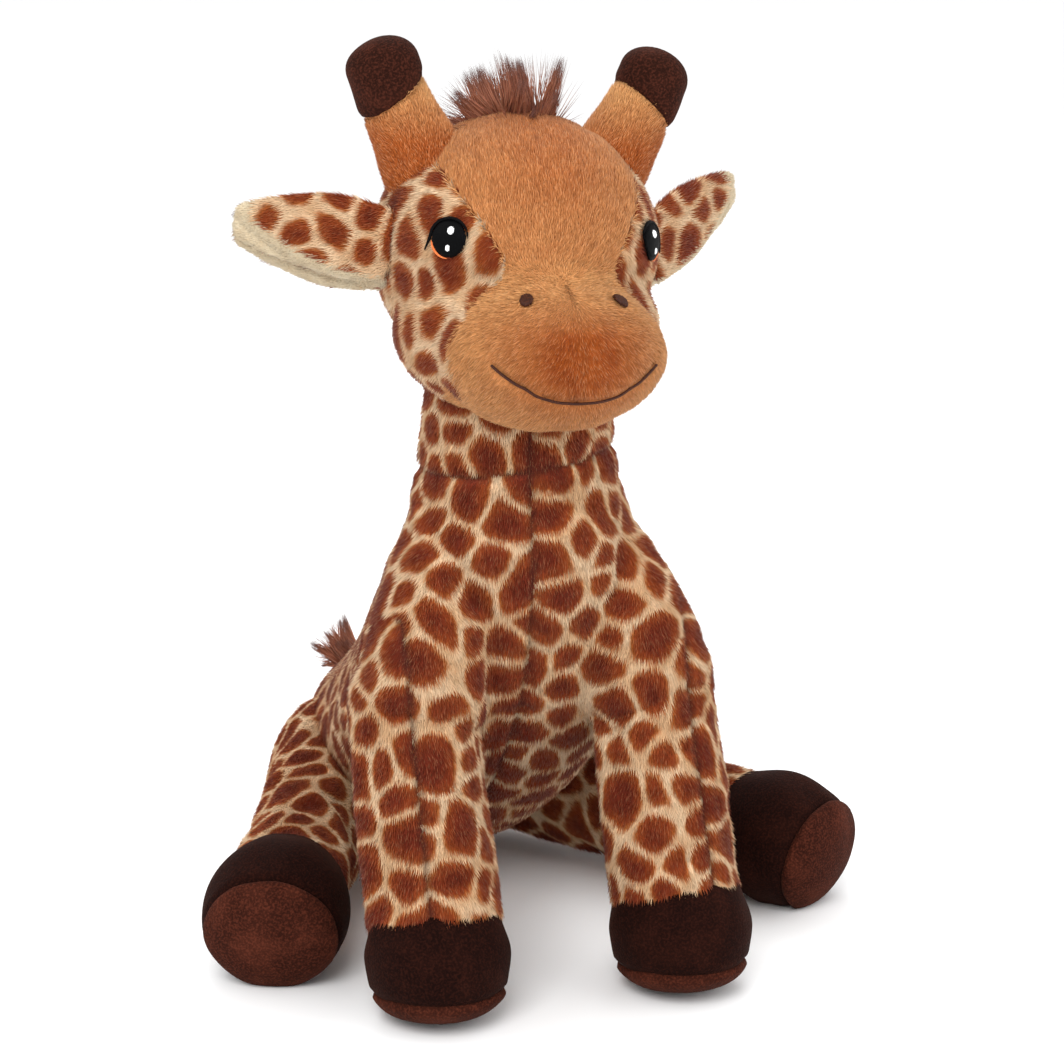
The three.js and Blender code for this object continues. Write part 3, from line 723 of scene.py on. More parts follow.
class Growth(Tree):
    """A geometry node tree with named inputs and one output."""

    def __init__(self, name, inputs):
        super().__init__(bpy.data.node_groups.new(name, "GeometryNodeTree"))
        for label, kind in inputs:
            self.nodes.interface.new_socket(name=label, in_out="INPUT", socket_type="NodeSocket" + kind)
        self.nodes.interface.new_socket(name="Result", in_out="OUTPUT", socket_type="NodeSocketGeometry")
        source = self.nodes.nodes.new("NodeGroupInput")
        self.given = {label: Term(self, source.outputs[label]) for label, _ in inputs}

    def named(self, field, kind="FLOAT"):
        return self.add("GeometryNodeInputNamedAttribute", dict(data_type=kind), {"Name": field})

    def store(self, geometry, field, value, kind="FLOAT", domain="POINT"):
        return self.add(
            "GeometryNodeStoreNamedAttribute",
            dict(data_type=kind, domain=domain),
            {"Geometry": geometry, "Name": field, "Value": value},
        )

    def chance(self, low, high, shift, kind="FLOAT"):
        return self.add(
            "FunctionNodeRandomValue",
            dict(data_type=kind),
            {"Min": low, "Max": high, "Seed": self.given["Seed"] + shift},
        )

    def xyz(self, x=0.0, y=0.0, z=0.0):
        return self.add("ShaderNodeCombineXYZ", {}, {"X": x, "Y": y, "Z": z})

    def copies(self, points, label, **placing):
        """Copies of the object in a named input, one on each point."""
        shape = self.add("GeometryNodeObjectInfo", {}, {"Object": self.given[label]}).output("Geometry")
        return self.add(
            "GeometryNodeInstanceOnPoints", {}, {"Points": points, "Instance": shape, **placing}
        )

    def solid(self, copies):
        return self.add("GeometryNodeRealizeInstances", {}, {"Geometry": copies})

    def finish(self, geometry):
        """Every tree ends in plain faces with their material."""
        inputs = {"Geometry": geometry, "Material": self.given["Material"]}
        ready = self.add("GeometryNodeSetMaterial", {}, inputs)
        self.nodes.links.new(ready.socket, self.nodes.nodes.new("NodeGroupOutput").inputs[0])

    def run(self, thing, name, **values):
        """What the tree makes of an object, as one plain mesh."""
        work = thing.modifiers.new("growth", "NODES")
        work.node_group = self.nodes
        for item in self.nodes.interface.items_tree:
            key = item.name.lower().replace(" ", "_")
            if item.in_out == "INPUT" and key in values:
                work[item.identifier] = values[key]
        result = evaluated(thing, name)
        thing.modifiers.remove(work)
        result.data.shade_smooth()
        return result


GAP_SHARE = 0.62  # how evenly strands stand apart
TRIED_SHARE = 5  # how many more places are tried than strands grow
CELL_RIM = 0.1  # the free rim of a strand's cell in its map


def strand_tree():
    """Strands over a mesh: combed along its field "comb", thinned by "pile" and shortened by "trim"."""
    tree = Growth("strands", [
        ("Skin", "Geometry"),
        ("Density", "Float"),
        ("Length", "Float"),
        ("Radius", "Float"),
        ("Lean", "Float"),
        ("Wildness", "Float"),
        ("Shortest", "Float"),
        ("Cells", "Float"),
        ("Seed", "Int"),
        ("Strand", "Object"),
        ("Material", "Material"),
    ])
    given, named = tree.given, tree.named
    spread = tree.add(
        "GeometryNodeDistributePointsOnFaces",
        dict(distribute_method="POISSON"),
        {
            "Mesh": given["Skin"],
            "Distance Min": (GAP_SHARE / given["Density"]).maths("SQRT"),
            "Density Max": given["Density"] * TRIED_SHARE,
            "Density Factor": named("pile"),
            "Seed": given["Seed"],
        },
    )
    points = tree.store(spread, "lie", spread.output("Normal"), "FLOAT_VECTOR")
    points = tree.store(points, "shade", tree.chance(0.0, 1.0, 1))
    points = tree.store(points, "cell", tree.add("GeometryNodeInputIndex"))
    comb = tree.vector("SCALE", named("comb", "FLOAT_VECTOR"), None, None, given["Lean"])
    stray = tree.chance((-1, -1, -1), (1, 1, 1), 2, "FLOAT_VECTOR")
    stray = tree.vector("SCALE", stray, None, None, given["Wildness"])
    way = tree.vector("ADD", tree.vector("ADD", named("lie", "FLOAT_VECTOR"), comb), stray)
    aim = tree.add("FunctionNodeAlignRotationToVector", dict(axis="Z"), {"Vector": way})
    spin = tree.add(
        "FunctionNodeAxisAngleToRotation", {}, {"Axis": (0, 0, 1), "Angle": tree.chance(0.0, TURN, 3)}
    )
    rotation = tree.add(
        "FunctionNodeRotateRotation", dict(rotation_space="LOCAL"), {"Rotation": aim, "Rotate By": spin}
    )
    length = given["Length"] * tree.chance(given["Shortest"], 1.0, 4) * named("trim")
    size = tree.xyz(given["Radius"], given["Radius"], length)
    solid = tree.solid(tree.copies(points, "Strand", Rotation=rotation, Scale=size))
    cells, cell = given["Cells"], named("cell")
    row = (cell / cells).maths("FLOOR")
    inner = tree.add("ShaderNodeSeparateXYZ", {}, [named("strand", "FLOAT_VECTOR")])
    across, along = (inner.output(k) * (1 - 2 * CELL_RIM) for k in (0, 1))
    spot = tree.xyz((cell - row * cells + CELL_RIM + across) / cells, (row + CELL_RIM + along) / cells)
    tree.finish(tree.store(solid, "OFBake", spot, "FLOAT2", "CORNER"))
    return tree


STRANDS = strand_tree()
NAP = spike("nap_strand")
LOCK = spike("lock_strand", bend=3, levels=3)
SPARE_CELLS = 1.1  # more room in the map than strands, whose number is only roughly known


def grow(skin, name, finish, seed, density, length, radius, lean, wildness, shortest=0.65, strand=NAP):
    """Strands over a skin as one plain mesh. density is strands per square millimetre."""
    area = sum(p.area for p in skin.data.polygons) / MM**2
    hair = STRANDS.run(
        skin,
        name,
        density=density / MM**2,
        length=length * MM,
        radius=radius * MM,
        lean=lean,
        wildness=wildness,
        shortest=shortest,
        cells=float(math.ceil(math.sqrt(area * density * SPARE_CELLS))),
        seed=seed,
        strand=strand,
        material=FINISH[finish],
    )
    return hair


def dress(thing, comb, patch=0.0, pile=1.0, trim=1.0, tint_share=0.0):
    """Stores how the pile of a skin lies, how thick and long it is, and how it is coloured. tint_share moves
    the colour towards its second tone: the orange of the face and horns, and painted shade along the seams
    of the spotted covers.
    """
    count = len(thing.data.vertices)
    set_field(thing, "comb", comb)
    for name, values in (("patch", patch), ("pile", pile), ("trim", trim), ("tint", tint_share), ("shade", 0.8)):
        set_field(thing, name, np.broadcast_to(np.asarray(values, float), (count,)))


# Patches of a spotted cover, spread evenly over its panels
RIPPLE_WAVES = 6
RIPPLE_HEIGHT = 3.5  # what the sum of so many waves is divided by
ROOM_RANGE = (0.68, 1.28)  # how small and how large a spot's room gets, as shares of the spacing
SLIM_RANGE = (1.0, 1.75)  # how many times longer than wide a spot gets
SPOT_WANDER = 1.5  # how far the edges of spots stray, in waves


def ripple(places, size, seed):
    """A smooth random shift of each point, with waves of about a size in millimetres."""
    chance = np.random.default_rng(seed)
    shift = np.zeros_like(places)
    for _ in range(RIPPLE_WAVES):
        wave = chance.normal(size=3)
        wave = wave / np.linalg.norm(wave) * TURN / (size * chance.uniform(0.7, 1.6))
        shift += np.outer(np.sin(places @ wave + chance.uniform(0, TURN)), chance.normal(size=3))
    return shift / RIPPLE_HEIGHT


SPOT_CORE = 0.3  # the share of a spot's room that is its round middle
SPOT_SOFTNESS = 1.4  # how round a spot's corners are, in millimetres
SPOT_NEIGHBOURS = 4


class Spots:
    """Spots spread evenly over the panels of a cover. Each is cut off where its panel ends."""

    def __init__(self, places, panels, spacing, seed, stretch=(1, 1, 1)):
        chance = np.random.default_rng(seed)
        self.seed = seed
        self.stretch = np.asarray(stretch, float)
        self.panels = {}
        bent = self.bent(places)
        for panel in np.unique(panels):
            cloud = bent[panels == panel]
            room = spacing * chance.uniform(*ROOM_RANGE, len(cloud))
            centres, rooms = cloud[:0], room[:0]
            for k in chance.permutation(len(cloud)):
                if np.all(np.linalg.norm(centres - cloud[k], axis=1) > 0.5 * (rooms + room[k])):
                    centres = np.vstack([centres, cloud[k]])
                    rooms = np.append(rooms, room[k])
            grain = unit(chance.normal(size=centres.shape))
            slim = 1 - 1 / chance.uniform(*SLIM_RANGE, len(centres)) ** 2
            self.panels[panel] = centres, rooms, grain, slim

    def bent(self, places):
        """Points in the stretched and rippled space that spots are round in."""
        return (places + SPOT_WANDER * ripple(places, 30, self.seed)) * self.stretch

    def depth(self, places, panels):
        """How far inside a spot each point lies, in millimetres."""
        depth = np.zeros(len(places))
        bent = self.bent(places)
        for panel, (centres, rooms, grain, slim) in self.panels.items():
            mine = np.flatnonzero(panels == panel)
            for start in range(0, len(mine), BLOCK):
                chosen = mine[start:start + BLOCK]
                away = bent[chosen, None] - centres[None]
                squares = np.sum(away**2, axis=2) - slim * np.einsum("ijk,jk->ij", away, grain) ** 2
                count = min(SPOT_NEIGHBOURS, len(centres))
                nearest = np.sqrt(squares) - SPOT_CORE * rooms
                nearest = np.sort(np.partition(nearest, count - 1, axis=1)[:, :count], axis=1)
                others = nearest[:, 1:2] - nearest[:, 1:]
                others = SPOT_SOFTNESS * np.log(np.exp(others / SPOT_SOFTNESS).sum(1))
                depth[chosen] = 0.5 * (nearest[:, 1] - others - nearest[:, 0])
        return depth

    def paint(self, hair, panel_of, matrix=np.eye(4)):
        """Gives each strand the colour of the spot that it grows in."""
        corners = len(NAP.data.vertices)
        roots = points_of(hair)[0].reshape(-1, corners, 3)[:, :-1].mean(axis=1)
        lie = get_field(hair, "lie").reshape(-1, corners, 3)[:, 0]
        back = np.linalg.inv(matrix)
        roots = turned(roots, back)
        depth = self.depth(roots, panel_of(roots, lie @ back[:3, :3].T))
        set_field(hair, "patch", np.repeat(depth, corners))


def one_panel(places, _):
    """For a cover of one panel. The second value is the normals, which other covers need."""
    return np.zeros(len(places), int)


def combed(normals, way):
    """A direction laid flat on the surface."""
    way = np.broadcast_to(way, normals.shape)
    return unit(way - normals * np.sum(way * normals, axis=1, keepdims=True))


def dent(distance, width, depth=1.0):
    """How deep a seam pulls the surface in at a distance from it."""
    return depth * np.exp(-((distance / width) ** 2))


# The push of the stuffing: a cloth simulation on a coarse copy of a skin that is held at its seams
CLOTH_VOXEL = 5  # the grain of that copy, in millimetres
PUSH_LIMIT = 1.7
PUSH_SHARE = 0.8  # how much of the copy's movement the skin takes
PUSH_FRAMES = 16
PUSH_NEIGHBOURS = 5  # how many points of the copy move one of the skin


def puffed(skin, held):
    """How far the stuffing pushes each point of a skin outwards, in millimetres, between what is held."""
    places, _ = points_of(skin)
    rough = linked("cloth_rough", skin.data.copy())
    coarsen = rough.modifiers.new("coarsen", "REMESH")
    coarsen.mode = "VOXEL"
    coarsen.voxel_size = CLOTH_VOXEL * MM
    cloth = evaluated(rough, "cloth")
    remove(rough)
    before, normals = points_of(cloth)
    group = cloth.vertex_groups.new(name="held")
    for k, weight in enumerate(held(before)):
        group.add([k], float(min(weight, 1.0)), "REPLACE")
    work = cloth.modifiers.new("pressure", "CLOTH")
    work.point_cache.frame_start = 1
    work.point_cache.frame_end = PUSH_FRAMES
    fabric = work.settings
    fabric.quality = 5
    fabric.mass = 0.2
    fabric.bending_stiffness = 0.3
    fabric.shrink_min = -0.05
    fabric.use_pressure = True
    fabric.uniform_pressure_force = 4
    fabric.vertex_group_mass = "held"
    fabric.effector_weights.gravity = 0
    for frame_number in range(1, PUSH_FRAMES + 1):
        bpy.context.scene.frame_set(frame_number)
    blown = evaluated(cloth, "blown")
    after, _ = points_of(blown)
    bpy.context.scene.frame_set(1)
    remove(blown)
    remove(cloth)
    push = np.sum((after - before) * normals, axis=1)
    push = np.clip((push - np.median(push)) * PUSH_SHARE, -PUSH_LIMIT, PUSH_LIMIT)
    tree = KDTree(len(before))
    for k, point in enumerate(before):
        tree.insert(point, k)
    tree.balance()
    smooth = np.empty(len(places))
    for k, point in enumerate(places):
        found = tree.find_n(point, PUSH_NEIGHBOURS)
        weights = np.array([1 / (distance + 0.5) ** 2 for _, _, distance in found])
        smooth[k] = weights @ push[[index for _, index, _ in found]] / weights.sum()
    return smooth


def spine_way(places):
    """The direction from the neck to the rump at each point."""
    line, tangents = smooth_line([s["at"] for s in TORSO], np.linspace(0, 1, 60))
    nearest = np.empty(len(places), int)
    for start in range(0, len(places), BLOCK):
        block = places[start:start + BLOCK]
        away = np.linalg.norm(block[:, None] - line[None], axis=2)
        nearest[start:start + BLOCK] = np.argmin(away, axis=1)
    return -tangents[nearest]


def tree_of(places, skin):
    """A search tree of a skin's faces, with its points in millimetres."""
    return BVHTree.FromPolygons(places.tolist(), [tuple(p.vertices) for p in skin.data.polygons])


COVER_DEPTH = 4
HIP_DEPTH = 10  # deeper, because the hind legs swing out of the rump


def showing(places, trees, depth=COVER_DEPTH):
    """1 where a point shows, and 0 where it lies deeper than a depth inside another skin."""
    shows = np.ones(len(places))
    for tree in trees:
        for k in np.flatnonzero(shows):
            at, normal, _, _ = tree.find_nearest(places[k])
            if normal.dot(Vector(places[k]) - at) < -depth:
                shows[k] = 0
    return shows


def pressed(places, height):
    """Presses the points of a soft form flat where it rests."""
    low = places[:, 2] < height
    places[low, 2] = height - (height - places[low, 2]) * FLATTENED
    return places


def finished(piece, finish, slot=None):
    """Gives a piece its material. The argument slot, which mostly has the finish's name, is not used."""
    piece.data.materials.append(FINISH[finish])
    slot or finish


def padding(piece, node, finish, slot=None):
    """Finishes a stuffed piece and hides the solid that it stands for."""
    finished(piece, finish, slot)
    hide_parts(node)
    return piece


# Seams of the body, as places in millimetres
CHEST_SEAM = -5
LEG_SEAM = 6.5
NECK_SEAM = 191
NECK_LEAN = 0.12
NECK_FROM = 170
LOBE_TOP = 140
LOBE_FROM = 110
SEAM_PULL = dict(width=2.0, depth=1.9)
SEAM_TRIM = dict(width=1.5, depth=0.65)
# How wide and how dark the painted shade along a seam is
SEAM_PAINTED_SHADE = dict(width=1.4, depth=0.7)
HELD = 5  # how wide a seam holds the skin against the stuffing
PARTING = np.array([0.15, 0, 0])  # how far the pile turns away from a seam


def torso_seams(places, normals):
    """Distance to the nearest seam, the panel that a point lies in, and how the pile parts there."""
    front = np.clip(-normals[:, 1] * 4, 0, 1)
    middle = places[:, 0] - CHEST_SEAM * front
    outer = np.abs(places[:, 0]) - FRONT["aside"] - LEG_SEAM
    on_lobe = (places[:, 2] < LOBE_TOP) & (normals[:, 1] < 0.1) & (places[:, 1] < -LOBE_FROM)
    lobe_seam = np.where(on_lobe, np.abs(outer), FAR)
    lean = NECK_LEAN * places[:, 0]
    neck = np.where(places[:, 2] > NECK_FROM, np.abs(places[:, 2] - NECK_SEAM - lean), FAR)
    distance = np.minimum(np.minimum(np.abs(middle), lobe_seam), neck)
    panel = (middle > 0) + 2 * (on_lobe & (outer > 0)) + 4 * (places[:, 2] > NECK_SEAM + lean)
    part = np.sign(middle) * dent(middle, 6) + np.sign(outer * places[:, 0]) * dent(lobe_seam, HELD)
    return distance, panel, part


def torso_held(places):
    """1 where the torso's skin is held: at its seams and where it rests."""
    chest = dent(places[:, 0] - CHEST_SEAM, HELD)
    return chest + (places[:, 2] < 5) + dent(places[:, 2] - NECK_SEAM, HELD)


def leg_seams(limb, sign, matrix):
    """The seam down the front of a leg, as a function of points and normals on it."""
    back = np.linalg.inv(matrix)

    def seams(places, normals):
        across = turned(places, back)[:, 0] - sign * LEG_SEAM
        facing = normals @ back[:3, :3].T
        front = facing[:, 1] < 0.2 if limb is FRONT else facing[:, 2] < -0.3
        distance = np.where(front, np.abs(across), FAR)
        panel = int(sign > 0) + 2 * (front & (across * sign > 0))
        return distance, panel, np.sign(across) * dent(distance, HELD)

    return seams


COVERS = []


def add_cover(node, shells, fineness, seams, held, way_of, body, matrix=np.eye(4), **more):
    """Sews a skin at its own place, and keeps what its looks need at its place on the toy."""
    skin = sewn(node, shells, *fineness)
    turning = matrix[:3, :3]
    local, normals = points_of(skin)
    places = turned(local, matrix)
    distance, panel, part = seams(places, normals @ turning.T)
    way = combed(normals, way_of(local))
    puff = puffed(skin, held)
    set_points(skin, places)
    COVERS.append(dict(
        node=node,
        skin=skin,
        places=places,
        normals=normals @ turning.T,
        distance=distance,
        panel=panel,
        seams=seams,
        way=combed(normals, way + part[:, None] * PARTING) @ turning.T,
        puff=puff,
        body=body,
        matrix=matrix,
        **more,
    ))


# Torso: one skin from the rump to the neck, with its lobes
ends = ("dome", RUMP_DOME), ("dome", NECK_DOME)
shells = [stuffed(TORSO, *ends, NAP_ROOM, sides=96, steps=70, dome=14)]
for sign in SIDES.values():
    ends = ("dome", 14), ("dome", 16)
    shells.append(stuffed(mirrored(LOBE, sign), *ends, NAP_ROOM + 0.4, sides=48, steps=24))
add_cover(
    "torso_cover",
    shells,
    (2.3, 8),
    torso_seams,
    torso_held,
    lambda p: spine_way(p) * 0.5 + np.array([0, 0, -1]),
    "torso",
)

# Legs: each cover is a closed tube whose ball top lies inside the lobe or the rump
for limb in (FRONT, HIND):
    for side, sign in SIDES.items():
        matrix = limb_frame(limb, side)
        ends = ("dome", limb["ball"]), ("flat", 1.5)
        along = unit(limb["leg"][-1]["at"] - limb["leg"][0]["at"])
        add_cover(
            f"{limb['name']}_cover_{side}",
            [stuffed(limb["leg"], *ends, NAP_ROOM, sides=64, steps=40, dome=14)],
            (2.0, 4),
            leg_seams(limb, sign, matrix),
            lambda p, seam=sign * LEG_SEAM: dent(p[:, 0] - seam, HELD),
            lambda p, along=along: along + np.array([0, 0, -0.3]),
            f"{limb['name']}_{side}",
            matrix,
            limb=limb,
            hip=turned(limb["hip"][None], matrix)[0],
            along=matrix[:3, :3] @ along,
        )

every_place = np.vstack([c["places"] for c in COVERS])
every_panel = np.concatenate([c["panel"] for c in COVERS])
SPOTS = Spots(every_place, every_panel, spacing=13.3, seed=5)
NAP_PLUSH = dict(density=2.0, length=3.7, radius=0.29, lean=2.0, wildness=0.3)
STRIPS = [-10, 52, 78, 104, 130, 158, 400]  # heights that part the torso's pile
COMB_WANDER = 0.16  # how far the comb of the pile strays, in waves
REST_HEIGHT = 0.6  # how high a skin lies that rests on the floor
RESTS_BELOW = 0.9
REST_PILE = 0.2  # the share of the pile that is left there


def strips(skin):
    """Splits a skin into pieces by height, so that the strands of each stay one mesh of a fair size."""
    places, _ = points_of(skin)
    for k, (low, high) in enumerate(zip(STRIPS[:-1], STRIPS[1:])):
        yield k, part_of(skin, f"strip_{k}", (places[:, 2] >= low) & (places[:, 2] < high))


def bend_with(piece, cover):
    """Lets a piece bend at the hip, from the torso to the leg of a cover."""
    ends = [tuple((cover["hip"] + cover["along"] * shift) * MM) for shift in cover["limb"]["bend"]]
    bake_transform(piece, "torso", cover["body"], *ends)


skin_trees = [tree_of(points_of(c["skin"])[0], c["skin"]) for c in COVERS]
for number, cover in enumerate(COVERS):
    skin, limb = cover["skin"], cover.get("limb")
    patch = SPOTS.depth(cover["places"], cover["panel"])
    pull = dent(cover["distance"], **SEAM_PULL)
    places = cover["places"] + cover["normals"] * (cover["puff"] - pull)[:, None]
    places = pressed(places, REST_HEIGHT)
    set_points(skin, places)
    if limb is None:
        by_lobes = showing(cover["places"], skin_trees[1:3])
        shows = by_lobes * showing(cover["places"], skin_trees[3:], HIP_DEPTH)
        in_head = turned(places, np.linalg.inv(HEAD)) - EGG["at"]
        shows = shows * (np.linalg.norm(in_head / (EGG["half"] - 6), axis=1) > 1)
    else:
        depth = COVER_DEPTH if limb is FRONT else HIP_DEPTH
        shows = showing(cover["places"], skin_trees[:1], depth)
    under = np.clip(1.4 + cover["normals"][:, 2], 0.5, 1)
    shows = shows * under * np.where(places[:, 2] < RESTS_BELOW, REST_PILE, 1.0)
    way = combed(cover["normals"], cover["way"] + COMB_WANDER * ripple(places, 16, 9))
    trim = 1 - dent(cover["distance"], **SEAM_TRIM)
    # The last value is the painted shade along the seams
    dress(skin, way, patch, shows, trim, dent(cover["distance"], **SEAM_PAINTED_SHADE))
    padding(skin, cover["node"], "spotted_plush")
    if limb is None:
        for k, strip in strips(skin):
            nap = grow(strip, f"torso_pile_{k + 1}", "spotted_plush", 10 + k, **NAP_PLUSH)
            SPOTS.paint(nap, lambda *where: torso_seams(*where)[1])
            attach(nap, "torso")
            remove(strip)
        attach(skin, "torso")
    else:
        pile_name = cover["node"].replace("cover", "pile")
        nap = grow(skin, pile_name, "spotted_plush", 40 + number, **NAP_PLUSH)
        SPOTS.paint(nap, lambda *where: cover["seams"](*where)[1])
        bend_with(skin, cover)
        bend_with(nap, cover)


# Hooves and soles
HOOF_LAP = 0.4  # how far hoof and sole pass their common seam
HOOF_SEAM = dict(width=1.3, depth=1.5)
HOOF_DENTS = 0.35
HOOF_FINISH = dict(hoof="brown_velour", sole="sole_velour")


def close_rims(work):
    """Closes the open rims of a mesh that is being worked on."""
    bmesh.ops.holes_fill(work, edges=[e for e in work.edges if e.is_boundary], sides=0)


def hem(piece):
    """Closes the open rim of a piece."""
    work = bmesh.new()
    work.from_mesh(piece.data)
    close_rims(work)
    bmesh.ops.recalc_face_normals(work, faces=work.faces)
    work.to_mesh(piece.data)
    work.free()
    piece.data.shade_smooth()
    return piece


def dress_hoof(limb, side, matrix, body):
    """The velour hoof and its puffy sole, which meet in a seam that pulls both in."""
    kind = limb["name"].replace("_leg", "")
    line, tangents = smooth_line([s["at"] for s in limb["hoof"]], [0, 1])
    sole, out = line[1], tangents[1]
    ends = ("dome", 7), ("dome", limb["bulge"])
    verts, faces = stuffed(limb["hoof"], *ends, 0.3, sides=96, steps=24, dome=16)
    height = (verts - sole) @ out
    inwards = -unit(verts - sole - out * height[:, None])
    bent = verts + inwards * dent(height, **HOOF_SEAM)[:, None]
    bent = bent + HOOF_DENTS * ripple(verts, 16, len(kind))
    bent = pressed(turned(bent, matrix), 0.15)
    for name, keep in (("hoof", height <= HOOF_LAP), ("sole", height >= -HOOF_LAP)):
        used = np.flatnonzero(keep)
        renumber = np.full(len(verts), -1)
        renumber[used] = np.arange(len(used))
        chosen = [renumber[list(f)] for f in faces if all(keep[i] for i in f)]
        node = f"{kind}_{name}_{side}"
        piece = hem(mesh_object(node, bent[used], chosen))
        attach(padding(piece, node, HOOF_FINISH[name]), body)


def stuffing(name, shell, matrix=np.eye(4)):
    """The stuffing inside a cover: a plain form a little smaller than it."""
    piece = mesh_object(name, pressed(turned(shell[0], matrix), 4), shell[1])
    return padding(piece, name, "filling")


for cover in COVERS[1:]:
    limb, matrix, body = cover["limb"], cover["matrix"], cover["body"]
    side = body.split("_")[-1]
    dress_hoof(limb, side, matrix, body)
    form = stuffed(limb["leg"], ("dome", limb["ball"]), ("flat", 6), 5.5, sides=24, steps=12)
    bend_with(stuffing(f"{limb['name']}_filling_{side}", form, matrix), cover)
form = stuffed(TORSO, ("dome", RUMP_DOME), ("dome", NECK_DOME), 6, sides=40, steps=24)
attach(stuffing("torso_filling", form), "torso")


# Head: one skin, cut into the side cover, the forehead gusset and two muzzle halves
def face_distance(local):
    """How far inside the edge of the plain face a point lies, in millimetres."""
    corners = np.vstack([FACE_EDGE, FACE_EDGE[::-1] * [-1, 1], FACE_EDGE[:1]])
    edge, _ = smooth_line(corners, np.linspace(0, 1, 81))
    spot = local[:, [0, 2]]
    distance = np.full(len(spot), np.inf)
    inside = np.zeros(len(spot), bool)
    for a, b in zip(edge[:-1], edge[1:]):
        along = b - a
        share = np.clip(((spot - a) @ along) / (along @ along), 0, 1)
        distance = np.minimum(distance, np.linalg.norm(spot - a - share[:, None] * along, axis=1))
        crosses = (a[1] > spot[:, 1]) != (b[1] > spot[:, 1])
        level = b[1] - a[1] or 1e-9
        inside ^= crosses & (spot[:, 0] < (b[0] - a[0]) * (spot[:, 1] - a[1]) / level + a[0])
    signed = np.where(inside, distance, -distance)
    start = np.where(local[:, 2] > NOSE_SEAM, CROWN_FROM, CHIN_FROM)
    return np.minimum(signed, -local[:, 1] - start)


def head_held(places):
    """1 where the head's skin is held: at the edge of the face and down the muzzle."""
    middle = dent(places[:, 0], 4) * (places[:, 2] < NOSE_SEAM) * (places[:, 1] < 0)
    return dent(face_distance(places), 4) + middle


EGGS = (EGG, MUZZLE, JAW)
DART = dict(aside=-3, above=33)
HEAD_PUFF = 0.6  # the head is stuffed tighter, so that its skin is pushed out less
head_skin = sewn("head_skin", [egg(part["at"], part["half"] - NAP_ROOM, 80) for part in EGGS], 1.8, 6)
local, normals = points_of(head_skin)
face = face_distance(local)
front = local[:, 1] < -10
muzzle = (face > 0) & (local[:, 2] < NOSE_SEAM)
mouth_height = MOUTH["middle"] + (MOUTH["end"] - MOUTH["middle"]) * (local[:, 0] / MOUTH["aside"]) ** 2
in_mouth = (np.abs(local[:, 0]) < MOUTH["aside"]) & (local[:, 1] < -30)
to_mouth = np.where(in_mouth, np.abs(local[:, 2] - mouth_height), FAR)
to_nose = np.where(muzzle, np.abs(local[:, 0]), FAR)
to_dart = np.where((local[:, 2] > DART["above"]) & front, np.abs(local[:, 0] - DART["aside"]), FAR)
pull = dent(face, 1.4, 0.4) + dent(to_nose, 2.0, 0.5) + dent(to_dart, 1.4, 0.6) + dent(to_mouth, 2.2, 0.8)
local = local + normals * (puffed(head_skin, head_held) * HEAD_PUFF - pull)[:, None]
region = np.where(face <= 0, 0, np.where(local[:, 2] > NOSE_SEAM, 1, np.where(local[:, 0] > 0, 2, 3)))
set_points(head_skin, local)
HEAD_TREE = tree_of(local, head_skin)


def on_face(aside, above, forward=80):
    """A frame on the head's skin, found from straight in front of the face: Z points out of it."""
    at, normal, _, _ = HEAD_TREE.ray_cast(Vector(place(aside, forward, above)), Vector((0, 1, 0)))
    side = Vector((0, 0, 1)).cross(normal).normalized()
    matrix = Matrix((side, normal.cross(side), normal)).transposed().to_4x4()
    return Matrix.Translation(at) @ matrix


# No pile grows under the embroidery
bald = np.where(to_mouth < 0.7, 0.0, 1.0)
for sign in SIDES.values():
    eye_at = np.array(on_face(sign * EYE["aside"], EYE["above"]).translation)
    bald = bald * (np.linalg.norm(local - eye_at, axis=1) > PUPIL - 0.2)
    nose_at = np.array(on_face(sign * NOSTRIL["aside"], NOSTRIL["above"]).translation)
    bald = bald * (np.linalg.norm((local - nose_at) * [1.3, 1, 0.85], axis=1) > 2.6)

# The comb runs down the muzzle and away from its middle, up the forehead, and back on the sides
down = combed(normals, np.array([0, 0.35, -1.0]) + np.tanh(local[:, :1] / 8) * np.array([0.6, 0, 0]))
up = combed(normals, np.array([0, 0.2, 1.0]))
back = combed(normals, np.array([0, 0.9, -0.7]))
share = np.clip((local[:, 2] - NOSE_SEAM + 6) / 12, 0, 1)[:, None]
outwards = dent(share - 0.5, 0.35) * np.tanh(local[:, :1] / 8) * np.array([1, 0, 0])
way = np.where((face > 0)[:, None], combed(normals, down * (1 - share) + up * share + outwards), back)
way = combed(normals, way + COMB_WANDER * ripple(local, 14, 12))
# The plain face is tan at the top and most orange on the nose
height = local[:, 2]
# Most orange down the middle of the nose; paler towards the chin, a painted light against the shade under
# the muzzle
nose = np.clip((NOSE_SEAM - height) / 16, 0, 1) * dent(local[:, 0], 28) * dent(height + 28, 22)
above_nose = np.clip((height - NOSE_SEAM) / 8, 0, 1)
above_eyes = np.clip((height - 10) / 20, 0, 1)
# The forehead a little deeper than the pale tan, and deeper still at the middle of the crown, a painted
# shade
brow = 0.33 * above_nose + 0.3 * above_eyes * dent(local[:, 0], 24)
face_orange_and_painted_light = np.clip(0.12 + nose + brow, 0, 1) * (face > 0)
way = way * (1 - dent(height - NOSE_SEAM, 3, 0.3) * (face > 0))[:, None]
trim = 1 - dent(to_mouth, 2.5, 0.45) - dent(height - NOSE_SEAM, 4, 0.3) * (face > 0)


def head_halves(places, _):
    """The left and the right panel of the head's cover."""
    return (places[:, 0] > 0).astype(int)


